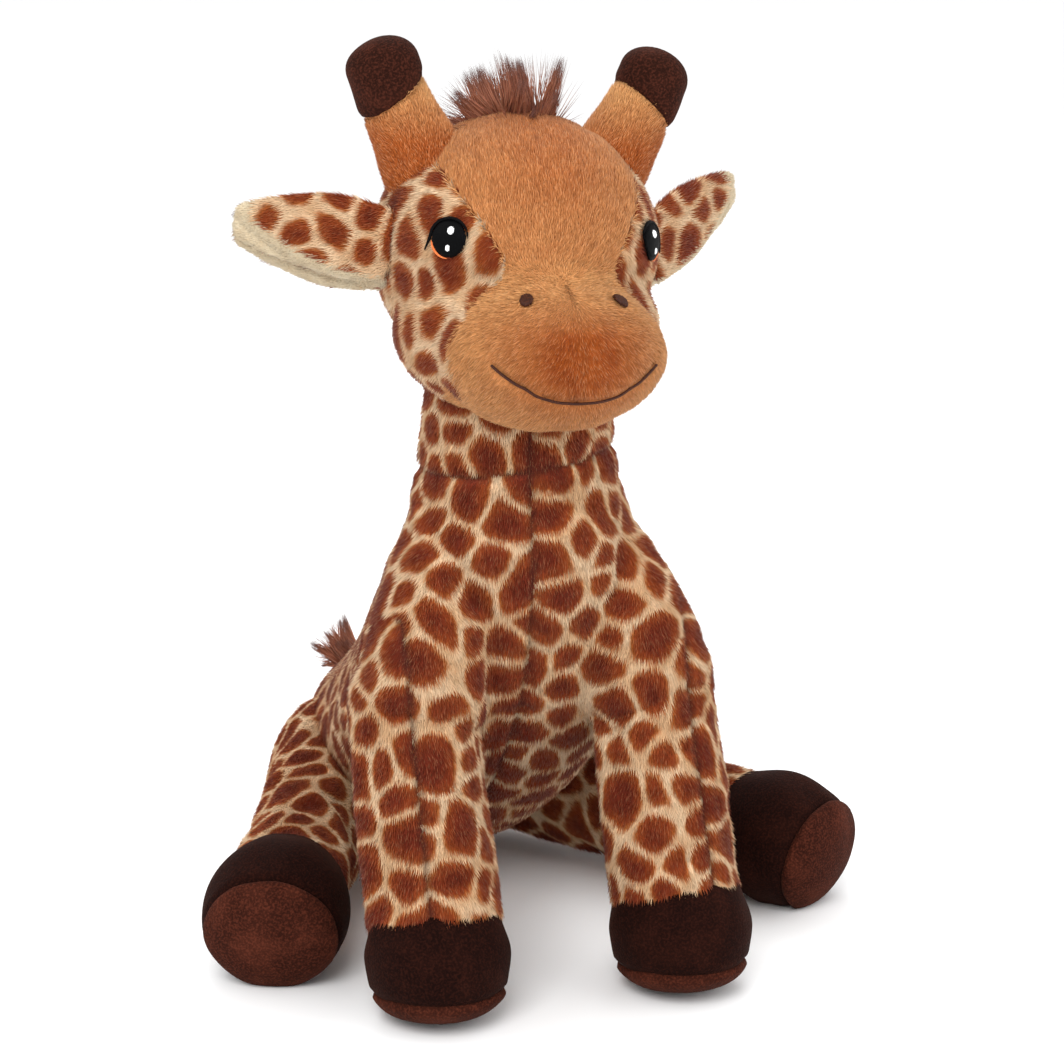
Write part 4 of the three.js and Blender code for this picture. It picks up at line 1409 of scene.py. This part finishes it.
HEAD_SPOTS = Spots(local, head_halves(local, normals), spacing=11.5, seed=77, stretch=(1.0, 1.0, 0.66))
dress(
    head_skin,
    way @ HEAD[:3, :3].T,
    HEAD_SPOTS.depth(local, head_halves(local, normals)),
    bald * showing(turned(local, HEAD), skin_trees[:1]),
    trim,
    face_orange_and_painted_light,
)
set_points(head_skin, turned(local, HEAD))
NAP_SIDE = dict(NAP_PLUSH, density=2.3, length=3.2, radius=0.25)
NAP_FACE = dict(NAP_PLUSH, density=3.2, length=2.9, radius=0.25, lean=2.2)
for index, (name, finish) in enumerate((
    ("head_cover", "spotted_plush"),
    ("forehead_panel", "tan_plush"),
    ("muzzle_panel_left", "orange_plush"),
    ("muzzle_panel_right", "orange_plush"),
)):
    panel = part_of(head_skin, name, region == index)
    pile_name = name.replace("_cover", "").replace("_panel", "") + "_pile"
    if index == 0:
        low = points_of(panel)[0][:, 2] < HEAD_AT[2]
        for k, keep in ((1, low), (2, ~low)):
            half = part_of(panel, f"half_{k}", keep)
            nap = grow(half, f"{pile_name}_{k}", finish, 60, **NAP_SIDE)
            HEAD_SPOTS.paint(nap, head_halves, HEAD)
            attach(nap, "head")
            remove(half)
    else:
        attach(grow(panel, pile_name, finish, 60 + index, **NAP_FACE), "head")
    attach(padding(thickened(panel, 1.2), name, finish), "head")
remove(head_skin)
filling = sewn("head_filling", [egg(part["at"], part["half"] - 6, 32) for part in EGGS], 4, 3)
move(filling, HEAD)
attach(padding(filling, "head_filling", "filling"), "head")


# Embroidery: rows of thread laid on the face
def satin_tree():
    """Parallel threads that fill an oval."""
    tree = Growth("satin", [
        ("Blank", "Geometry"),
        ("Half width", "Float"),
        ("Half height", "Float"),
        ("Thread", "Float"),
        ("Rows", "Int"),
        ("Seed", "Int"),
        ("Stitch", "Object"),
        ("Material", "Material"),
    ])
    given = tree.given
    rows = tree.add("GeometryNodeMeshLine", {}, {"Count": given["Rows"], "Offset": (0, 0, 0)})
    share = (tree.add("GeometryNodeInputIndex") + 0.5) / given["Rows"] * 2 - 1
    chord = (1 - share * share).maths("MAXIMUM", 0.02).maths("SQRT")
    across = tree.xyz(share * given["Half width"])
    rows = tree.add("GeometryNodeSetPosition", {}, {"Geometry": rows, "Position": across})
    half_length = chord * given["Half height"] * tree.chance(0.97, 1.03, 0)
    size = tree.xyz(given["Thread"], half_length, given["Thread"])
    tree.finish(tree.solid(tree.copies(rows, "Stitch", Scale=size)))
    return tree


SATIN = satin_tree()
stitch_line = [dict(at=np.array([0, y, 0]), wide=1, deep=1) for y in (-1, -0.5, 0, 0.5, 1)]
STITCH = mesh_object("stitch", *stuffed(stitch_line, ("flat", 0.0), ("flat", 0.0), sides=6, steps=10))
for vertex in STITCH.data.vertices:
    vertex.co = vertex.co / MM
    if abs(vertex.co.y) > 0.99:
        vertex.co.z -= 1.2
STITCH.hide_render = True
ROW_STEP = 1.25  # how far apart two rows lie, in radii of their thread


def satin(half_width, half_height, thread, seed):
    """An oval of stitches, flat at the origin, as points in millimetres and faces."""
    blank = mesh_object("blank", np.zeros((1, 3)), [])
    flat = SATIN.run(
        blank,
        "satin",
        half_width=half_width * MM,
        half_height=half_height * MM,
        thread=thread * MM,
        rows=int(round(2 * half_width / thread / ROW_STEP)),
        seed=seed,
        stitch=STITCH,
    )
    remove(blank)
    shape = points_of(flat)[0], [tuple(p.vertices) for p in flat.data.polygons]
    remove(flat)
    return shape


def tube(points, radii, sides=8):
    """A closed thread or roll along points, with a radius at each."""
    points = np.asarray(points, float)
    radii = np.broadcast_to(np.asarray(radii, float), (len(points),))
    stations = [dict(at=p, wide=r, deep=r) for p, r in zip(points, radii)]
    across = np.cross(unit(points[-1] - points[0]), (0, 0, 1))
    across = across if np.linalg.norm(across) > 0.1 else (1, 0, 0)
    ends = [("dome", radii[0]), ("dome", radii[-1])]
    return stuffed(stations, *ends, 0.0, across, sides=sides, steps=4 * len(points), dome=3)


def moved(shape, x, y, z=0.0):
    """A shape at another place."""
    return np.asarray(shape[0]) + [x, y, z], shape[1]


ABOVE_FACE = 25.0


def laid_on_face(name, shape, spot, lift, finish, slot=None, crown=0.0, extra=False):
    """Bends a flat shape over the face at a spot, and finishes it. An extra one stands for no solid."""
    verts, faces = shape
    spot = np.array(spot)
    inverse = np.linalg.inv(spot)
    bent = np.empty_like(verts)
    for k, (x, y, z) in enumerate(verts):
        start = turned(np.array([[x, y, ABOVE_FACE]]), spot)[0]
        at, _, _, _ = HEAD_TREE.ray_cast(Vector(start), Vector(-spot[:3, 2]))
        height = turned(np.array([list(at)]), inverse)[0][2] if at else 0.0
        swell = crown * max(0.0, 1 - (x * x + y * y) / EYE["radius"] ** 2)
        bent[k] = (x, y, height + z + lift + swell)
    piece = mesh_object(name, turned(turned(bent, spot), HEAD), faces)
    finished(piece, finish, slot)
    if not extra:
        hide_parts(name)
    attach(piece, "head")


LID = [
    (-6.7, 0.7, 0.2), (-5.7, 3.7, 0.35), (-3.4, 5.9, 0.5), (0, 6.8, 0.6),
    (3.7, 5.8, 0.65), (6.2, 3.2, 0.7), (7.2, -0.4, 0.65), (8.8, -4.4, 0.3),
]  # points of the right lid's line, outwards and up from the eye's middle, and its radius there
CORNER_RADII = [0.2, 0.4, 0.5, 0.5, 0.4, 0.3, 0.15]
EYE_CROWN = 0.9
LIFT = dict(eye=1.2, glint=1.35, lid=1.9, corner=1.8, nostril=1.2, mouth=1.3)  # above the backing cloth
for side, sign in SIDES.items():
    spot = on_face(sign * EYE["aside"], EYE["above"])
    pad = egg((0, 0, 0), (PUPIL - 0.4, PUPIL + 0.2, 1.0), 32)
    disc = merged(pad, moved(satin(PUPIL - 0.1, PUPIL + 0.4, 0.4, 1), 0, 0, 0.7))
    laid_on_face(f"eye_{side}", disc, spot, LIFT["eye"], "black_thread", crown=EYE_CROWN)
    spark = merged(
        moved(satin(1.0, 1.4, 0.35, 2), -sign * 0.9, 2.6, 1.0),
        moved(satin(0.65, 1.1, 0.3, 3), -sign * 0.4, -3.4, 1.0),
    )
    laid_on_face(f"eye_glint_{side}", spark, spot, LIFT["glint"], "white_thread", crown=EYE_CROWN)
    line = [(sign * outward, up, 0) for outward, up, _ in LID]
    lid = tube(line, [r for _, _, r in LID])
    laid_on_face(f"eyelid_{side}", lid, spot, LIFT["lid"], "black_thread")
    under = [
        (sign * PUPIL * 1.08 * math.cos(a), PUPIL * 1.12 * math.sin(a), 0)
        for a in np.linspace(-12 * DEGREE, -88 * DEGREE, len(CORNER_RADII))
    ]
    corner = tube(under, CORNER_RADII)
    looks = ("orange_thread", "black_thread")
    laid_on_face(f"eye_corner_{side}", corner, spot, LIFT["corner"], *looks, extra=True)
    hole = on_face(sign * NOSTRIL["aside"], NOSTRIL["above"])
    hole = hole @ Matrix.Rotation(sign * NOSTRIL["lean"] * DEGREE, 4, "Z")
    wide, high = NOSTRIL["wide"] + 0.3, NOSTRIL["high"] + 0.2
    pad = egg((0, 0, 0), (wide - 0.2, high - 0.2, 0.8), 20)
    oval = merged(pad, moved(satin(wide, high, 0.4, 4), 0, 0, 0.5))
    laid_on_face(f"nostril_{side}", oval, hole, LIFT["nostril"], "brown_thread")

smile = []
for share in np.linspace(-1, 1, 17):
    spot = on_face(share * MOUTH["aside"], MOUTH["middle"] + (MOUTH["end"] - MOUTH["middle"]) * share**2)
    smile.append(np.array(spot.translation + spot.to_3x3().col[2] * LIFT["mouth"]))
verts, faces = tube(smile, 0.5)
smile = mesh_object("mouth_stitch", turned(verts, HEAD), faces)
finished(smile, "brown_thread")
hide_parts("mouth_stitch")
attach(smile, "head")


# Horns: a plush stem and a velour cap that stands a little over it, cut from one shape
CAP_STEP = 0.9
CAP_SEAM = dict(width=1.8, depth=1.0)


def cut_by(thing, name, point, normal):
    """The closed part of a mesh on the side of a plane that its normal points to."""
    work = bmesh.new()
    work.from_mesh(thing.data)
    bmesh.ops.bisect_plane(
        work,
        geom=[*work.verts, *work.edges, *work.faces],
        plane_co=Vector(point) * MM,
        plane_no=Vector(normal),
        clear_inner=True,
    )
    close_rims(work)
    mesh = bpy.data.meshes.new(name)
    work.to_mesh(mesh)
    work.free()
    mesh.shade_smooth()
    return linked(name, mesh)


for side, sign in SIDES.items():
    stations = mirrored(HORN, sign)
    ends = ("flat", 4.0), ("dome", 10)
    whole = mesh_object("horn", *stuffed(stations, *ends, 1.0, sides=64, steps=40, dome=12))
    axis = unit(stations[2]["at"] - stations[0]["at"])
    seam_at = stations[0]["at"] + (stations[2]["at"] - stations[0]["at"]) * CAP_SHARE
    up = np.array(Matrix.Rotation(sign * CAP_TILT * DEGREE, 3, "Y") @ Vector(axis))
    local, normals = points_of(whole)
    past = (local - seam_at) @ up
    swell = np.where(past > 0, CAP_STEP, -CAP_STEP * np.clip(1 + past / 20, 0, 1))
    pushed = local + normals * (swell - dent(past, **CAP_SEAM))[:, None]
    set_points(whole, pushed + 0.3 * ripple(local, 14, 3))
    stem = cut_by(whole, f"horn_{side}", seam_at - up * 0.1, -up)
    cap = cut_by(whole, f"horn_cap_{side}", seam_at + up * 0.1, up)
    remove(whole)
    local, normals = points_of(stem)
    tint_share = np.clip(1.0 - (local[:, 2] - 36) / 22, 0.1, 0.95)
    way = combed(normals, axis + 0.3 * ripple(local, 9, 4)) @ HEAD[:3, :3].T
    dress(stem, way, 0.0, np.where(np.abs(normals @ up) > 0.9, 0.0, 1.0), 1.0, tint_share)
    for piece in (stem, cap):
        move(piece, HEAD)
    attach(grow(stem, f"horn_pile_{side}", "tan_plush", 80 + sign, **NAP_FACE), "head")
    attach(padding(stem, f"horn_{side}", "tan_plush"), "head")
    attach(padding(cap, f"horn_cap_{side}", "cap_velour", "brown_velour"), "head")


# Ears: one stuffed leaf of two flaps, whose lower rim and tip show the pale lining in front
EAR_ROWS = [(0, 6, 16), (18, 7.5, 17.5), (36, 6.5, 13.5), (47, 5, 9.5)]  # along, thick and high
NAP_SHORT = dict(NAP_FACE, length=1.7, radius=0.3, lean=1.6)


def flap(sign, high_share, thick_share, lower, behind):
    """One of the two flaps of an ear, by shares of its sizes, moved down and behind."""
    stations = [
        dict(
            at=np.array([sign * along, behind * thick / 6, lower * high / 16]),
            wide=thick * thick_share,
            deep=high * high_share,
        )
        for along, thick, high in EAR_ROWS
    ]
    return stuffed(stations, ("dome", 6), ("dome", 6), 0.8, (0, 1, 0), sides=40, steps=30, dome=8)


for side, sign in SIDES.items():
    matrix = ear_frame(side)
    flaps = [flap(sign, 0.84, 0.62, 2.2, -2.2), flap(sign, 0.8, 0.5, -3.0, 3.0)]
    leaf = sewn("ear", flaps, 1.1, 2)
    local, normals = points_of(leaf)
    along = local[:, 0] * sign
    rim = -8.5 + 0.0062 * along**2
    lined = (local[:, 2] < rim) & (normals[:, 1] < 0.6)
    lined = lined | ((along > 45) & (local[:, 2] < 10) & (normals[:, 1] < 0.6))
    groove = dent(local[:, 2] - rim + 5.5, 1.3, 0.9) * (normals[:, 1] < 0)
    swell = dent(local[:, 2] - rim + 1, 3.0, 0.7) * (normals[:, 1] < 0)
    local = local + normals * (swell - groove)[:, None]
    way = combed(normals, np.array([sign, 0, -0.35]) + 0.35 * ripple(local, 9, 6))
    ear_spots = Spots(local, one_panel(local, normals), spacing=13, seed=90 + sign)
    dress(leaf, way @ matrix[:3, :3].T, ear_spots.depth(local, one_panel(local, normals)))
    set_points(leaf, turned(local, matrix))
    for name, keep, finish, kind in (
        (f"ear_{side}", ~lined, "spotted_plush", NAP_SIDE),
        (f"ear_lining_{side}", lined, "cream_velour", NAP_SHORT),
    ):
        piece = part_of(leaf, name, keep)
        nap = grow(piece, name.replace("ear", "ear_pile", 1), finish, 95 + sign, **kind)
        ear_spots.paint(nap, one_panel, matrix)
        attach(nap, f"ear_{side}")
        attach(padding(thickened(piece, 1.0), name, finish), f"ear_{side}")
    remove(leaf)


# Long hair: forelock, mane and the tail's tuft, in clumps that come together at their tips
def clumps(local, normals, mean, spread, count, length, seed):
    """For each point the way to the tip of its clump, and the share of the full length that reaches it."""
    chance = np.random.default_rng(seed)
    seeds = chance.choice(len(local), count, replace=False)
    ways = unit(np.asarray(mean, float) + normals[seeds] * spread + chance.normal(size=(count, 3)) * 0.3)
    reach = length * chance.uniform(0.6, 1.1, count)
    tips = local[seeds] + ways * reach[:, None]
    nearest = np.argmin(np.linalg.norm(local[:, None] - local[seeds][None], axis=2), axis=1)
    target = tips[nearest] - local
    return unit(target), np.linalg.norm(target, axis=1) / length


HAIR_STRAND = dict(radius=0.24, lean=14.0, wildness=0.8, shortest=0.88, strand=LOCK)


def long_hair(node, body, shape, matrix, mean, spread, clump_count, density, length, seed):
    """Hair from a small rounded base."""
    base = mesh_object(node + "_root", *shape)
    local, normals = points_of(base)
    way, share = clumps(local, normals, mean, spread, clump_count, length, seed)
    dress(base, way @ np.array(matrix)[:3, :3].T, trim=share)
    set_field(base, "shade", np.full(len(local), 0.1))
    set_points(base, turned(local, matrix))
    finished(base, "long_hair")
    hair = grow(base, node, "long_hair", seed, density, length, **HAIR_STRAND)
    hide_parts(node)
    for piece in (base, hair):
        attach(piece, body)


def ridge(line):
    """The base of a mane: a low roll along a line."""
    stations = [dict(at=point, wide=4.5, deep=3) for point in line]
    return stuffed(stations, ("dome", 3), ("dome", 3), sides=24, steps=40, dome=3)


CROWN_SHARE = 0.84  # how high on the head the forelock grows
FORELOCK_AT = place(0, -14, EGG["at"][2] + EGG["half"][2] * CROWN_SHARE)
TUFT_AT = place(-14, -58, 64.5)
CORD_RADIUS = 3.4
long_hair(
    "forelock",
    "head",
    egg(FORELOCK_AT, (14, 12, 6), 48),
    HEAD,
    mean=(-0.4, 0.1, 0.9),
    spread=1.2,
    clump_count=34,
    density=2.0,
    length=23,
    seed=101,
)
MANE = dict(spread=0.8, clump_count=50, density=1.1, length=12)
crown = [
    EGG["at"] + np.array([0, math.sin(a), math.cos(a)]) * (EGG["half"] - 1.5)
    for a in np.linspace(45 * DEGREE, 125 * DEGREE, 6)
]
long_hair("mane_crown", "head", ridge(crown), HEAD, mean=(0, 0.5, -0.7), seed=102, **MANE)
nape = [place(0, *spot) for spot in ((103.5, 212), (103.5, 200), (100, 176), (96, 150))]
long_hair("mane_neck", "torso", ridge(nape), np.eye(4), mean=(0, 0.5, -0.9), seed=103, **MANE)

tail_line = [TAIL_ROOT, place(-3, -57, 59), place(-11, -58, 63)]
stations = [dict(at=point, wide=CORD_RADIUS, deep=CORD_RADIUS) for point in tail_line]
ends = ("dome", 4), ("dome", 4)
cord = sewn("tail_cord", [stuffed(stations, *ends, 0.0, (0, 0, 1), sides=20, steps=20)], 1.0, 2)
places, normals = points_of(cord)
way = combed(normals, unit(tail_line[2] - tail_line[0]))
TAIL_SPOTS = Spots(places, one_panel(places, normals), spacing=12, seed=110)
dress(cord, way, TAIL_SPOTS.depth(places, one_panel(places, normals)))
nap = grow(cord, "tail_pile", "spotted_plush", 111, **NAP_SIDE)
TAIL_SPOTS.paint(nap, one_panel)
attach(nap, "tail")
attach(padding(cord, "tail_cord", "spotted_plush"), "tail")
long_hair(
    "tail_tuft",
    "tail",
    egg(TUFT_AT, (6, 5.5, 5.5), 32),
    np.eye(4),
    mean=(-0.8, 0.1, 0.7),
    spread=0.7,
    clump_count=22,
    density=2.4,
    length=15,
    seed=104,
)
for helper in (NAP, LOCK, STITCH):
    remove(helper)


# Floor, light and camera
SKY_LIGHT = 1.06
FLOOR_REACH = 9000
LAMPS = dict(
    key=dict(at=(-0.9, -1.5, 1.6), power=30, size=1.2),
    fill=dict(at=(1.5, -1.2, 0.9), power=8, size=1.6),
    rim=dict(at=(0.3, 1.3, 1.5), power=10, size=1.2),
)
LAMPS_AIM = (0, -0.1, 0.15)
CAMERA_AIM = (0, -0.155, 0.165)  # the camera stands one metre from it
CAMERA_AZIMUTH = -18
CAMERA_ELEVATION = 13
SENSOR = 36
VIEW_WIDTH = 0.354 * 1.064  # metres that the photograph's width shows at one metre


def studio():
    """A white room with a pale floor, three soft lamps and the camera."""
    world = bpy.data.worlds.new("studio")
    world.use_nodes = True
    sky = world.node_tree.nodes["Background"]
    sky.inputs[0].default_value = (1, 1, 1, 1)
    sky.inputs[1].default_value = SKY_LIGHT
    bpy.context.scene.world = world
    corners = np.array([[-1, -1, 0], [1, -1, 0], [1, 1, 0], [-1, 1, 0]]) * FLOOR_REACH
    floor = mesh_object("floor", corners, [(0, 1, 2, 3)])
    paper = Finish("floor_paper").set(Base_Color=(0.95, 0.95, 0.95, 1), Roughness=0.9)
    floor.data.materials.append(paper)
    floor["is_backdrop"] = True
    for name, lamp in LAMPS.items():
        light = bpy.data.lights.new(name, "AREA")
        light.energy = lamp["power"]
        light.size = lamp["size"]
        thing = linked(name, light)
        thing.location = lamp["at"]
        aim = Vector(LAMPS_AIM) - Vector(lamp["at"])
        thing.rotation_euler = aim.to_track_quat("-Z", "Y").to_euler()
    lens = bpy.data.cameras.new("camera")
    lens.sensor_width = SENSOR
    lens.lens = SENSOR / VIEW_WIDTH
    view = linked("camera", lens)
    azimuth, elevation = CAMERA_AZIMUTH * DEGREE, CAMERA_ELEVATION * DEGREE
    level = math.cos(elevation)
    back = Vector((math.sin(azimuth) * level, -math.cos(azimuth) * level, math.sin(elevation)))
    view.location = Vector(CAMERA_AIM) + back
    view.rotation_euler = back.to_track_quat("Z", "Y").to_euler()
    bpy.context.scene.camera = view
    bpy.context.scene.view_settings.view_transform = "Standard"


studio()
boxes = {"cad": CAD_BOX, "visual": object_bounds()}
{name: [list(map(float, corner)) for corner in box] for name, box in boxes.items()}
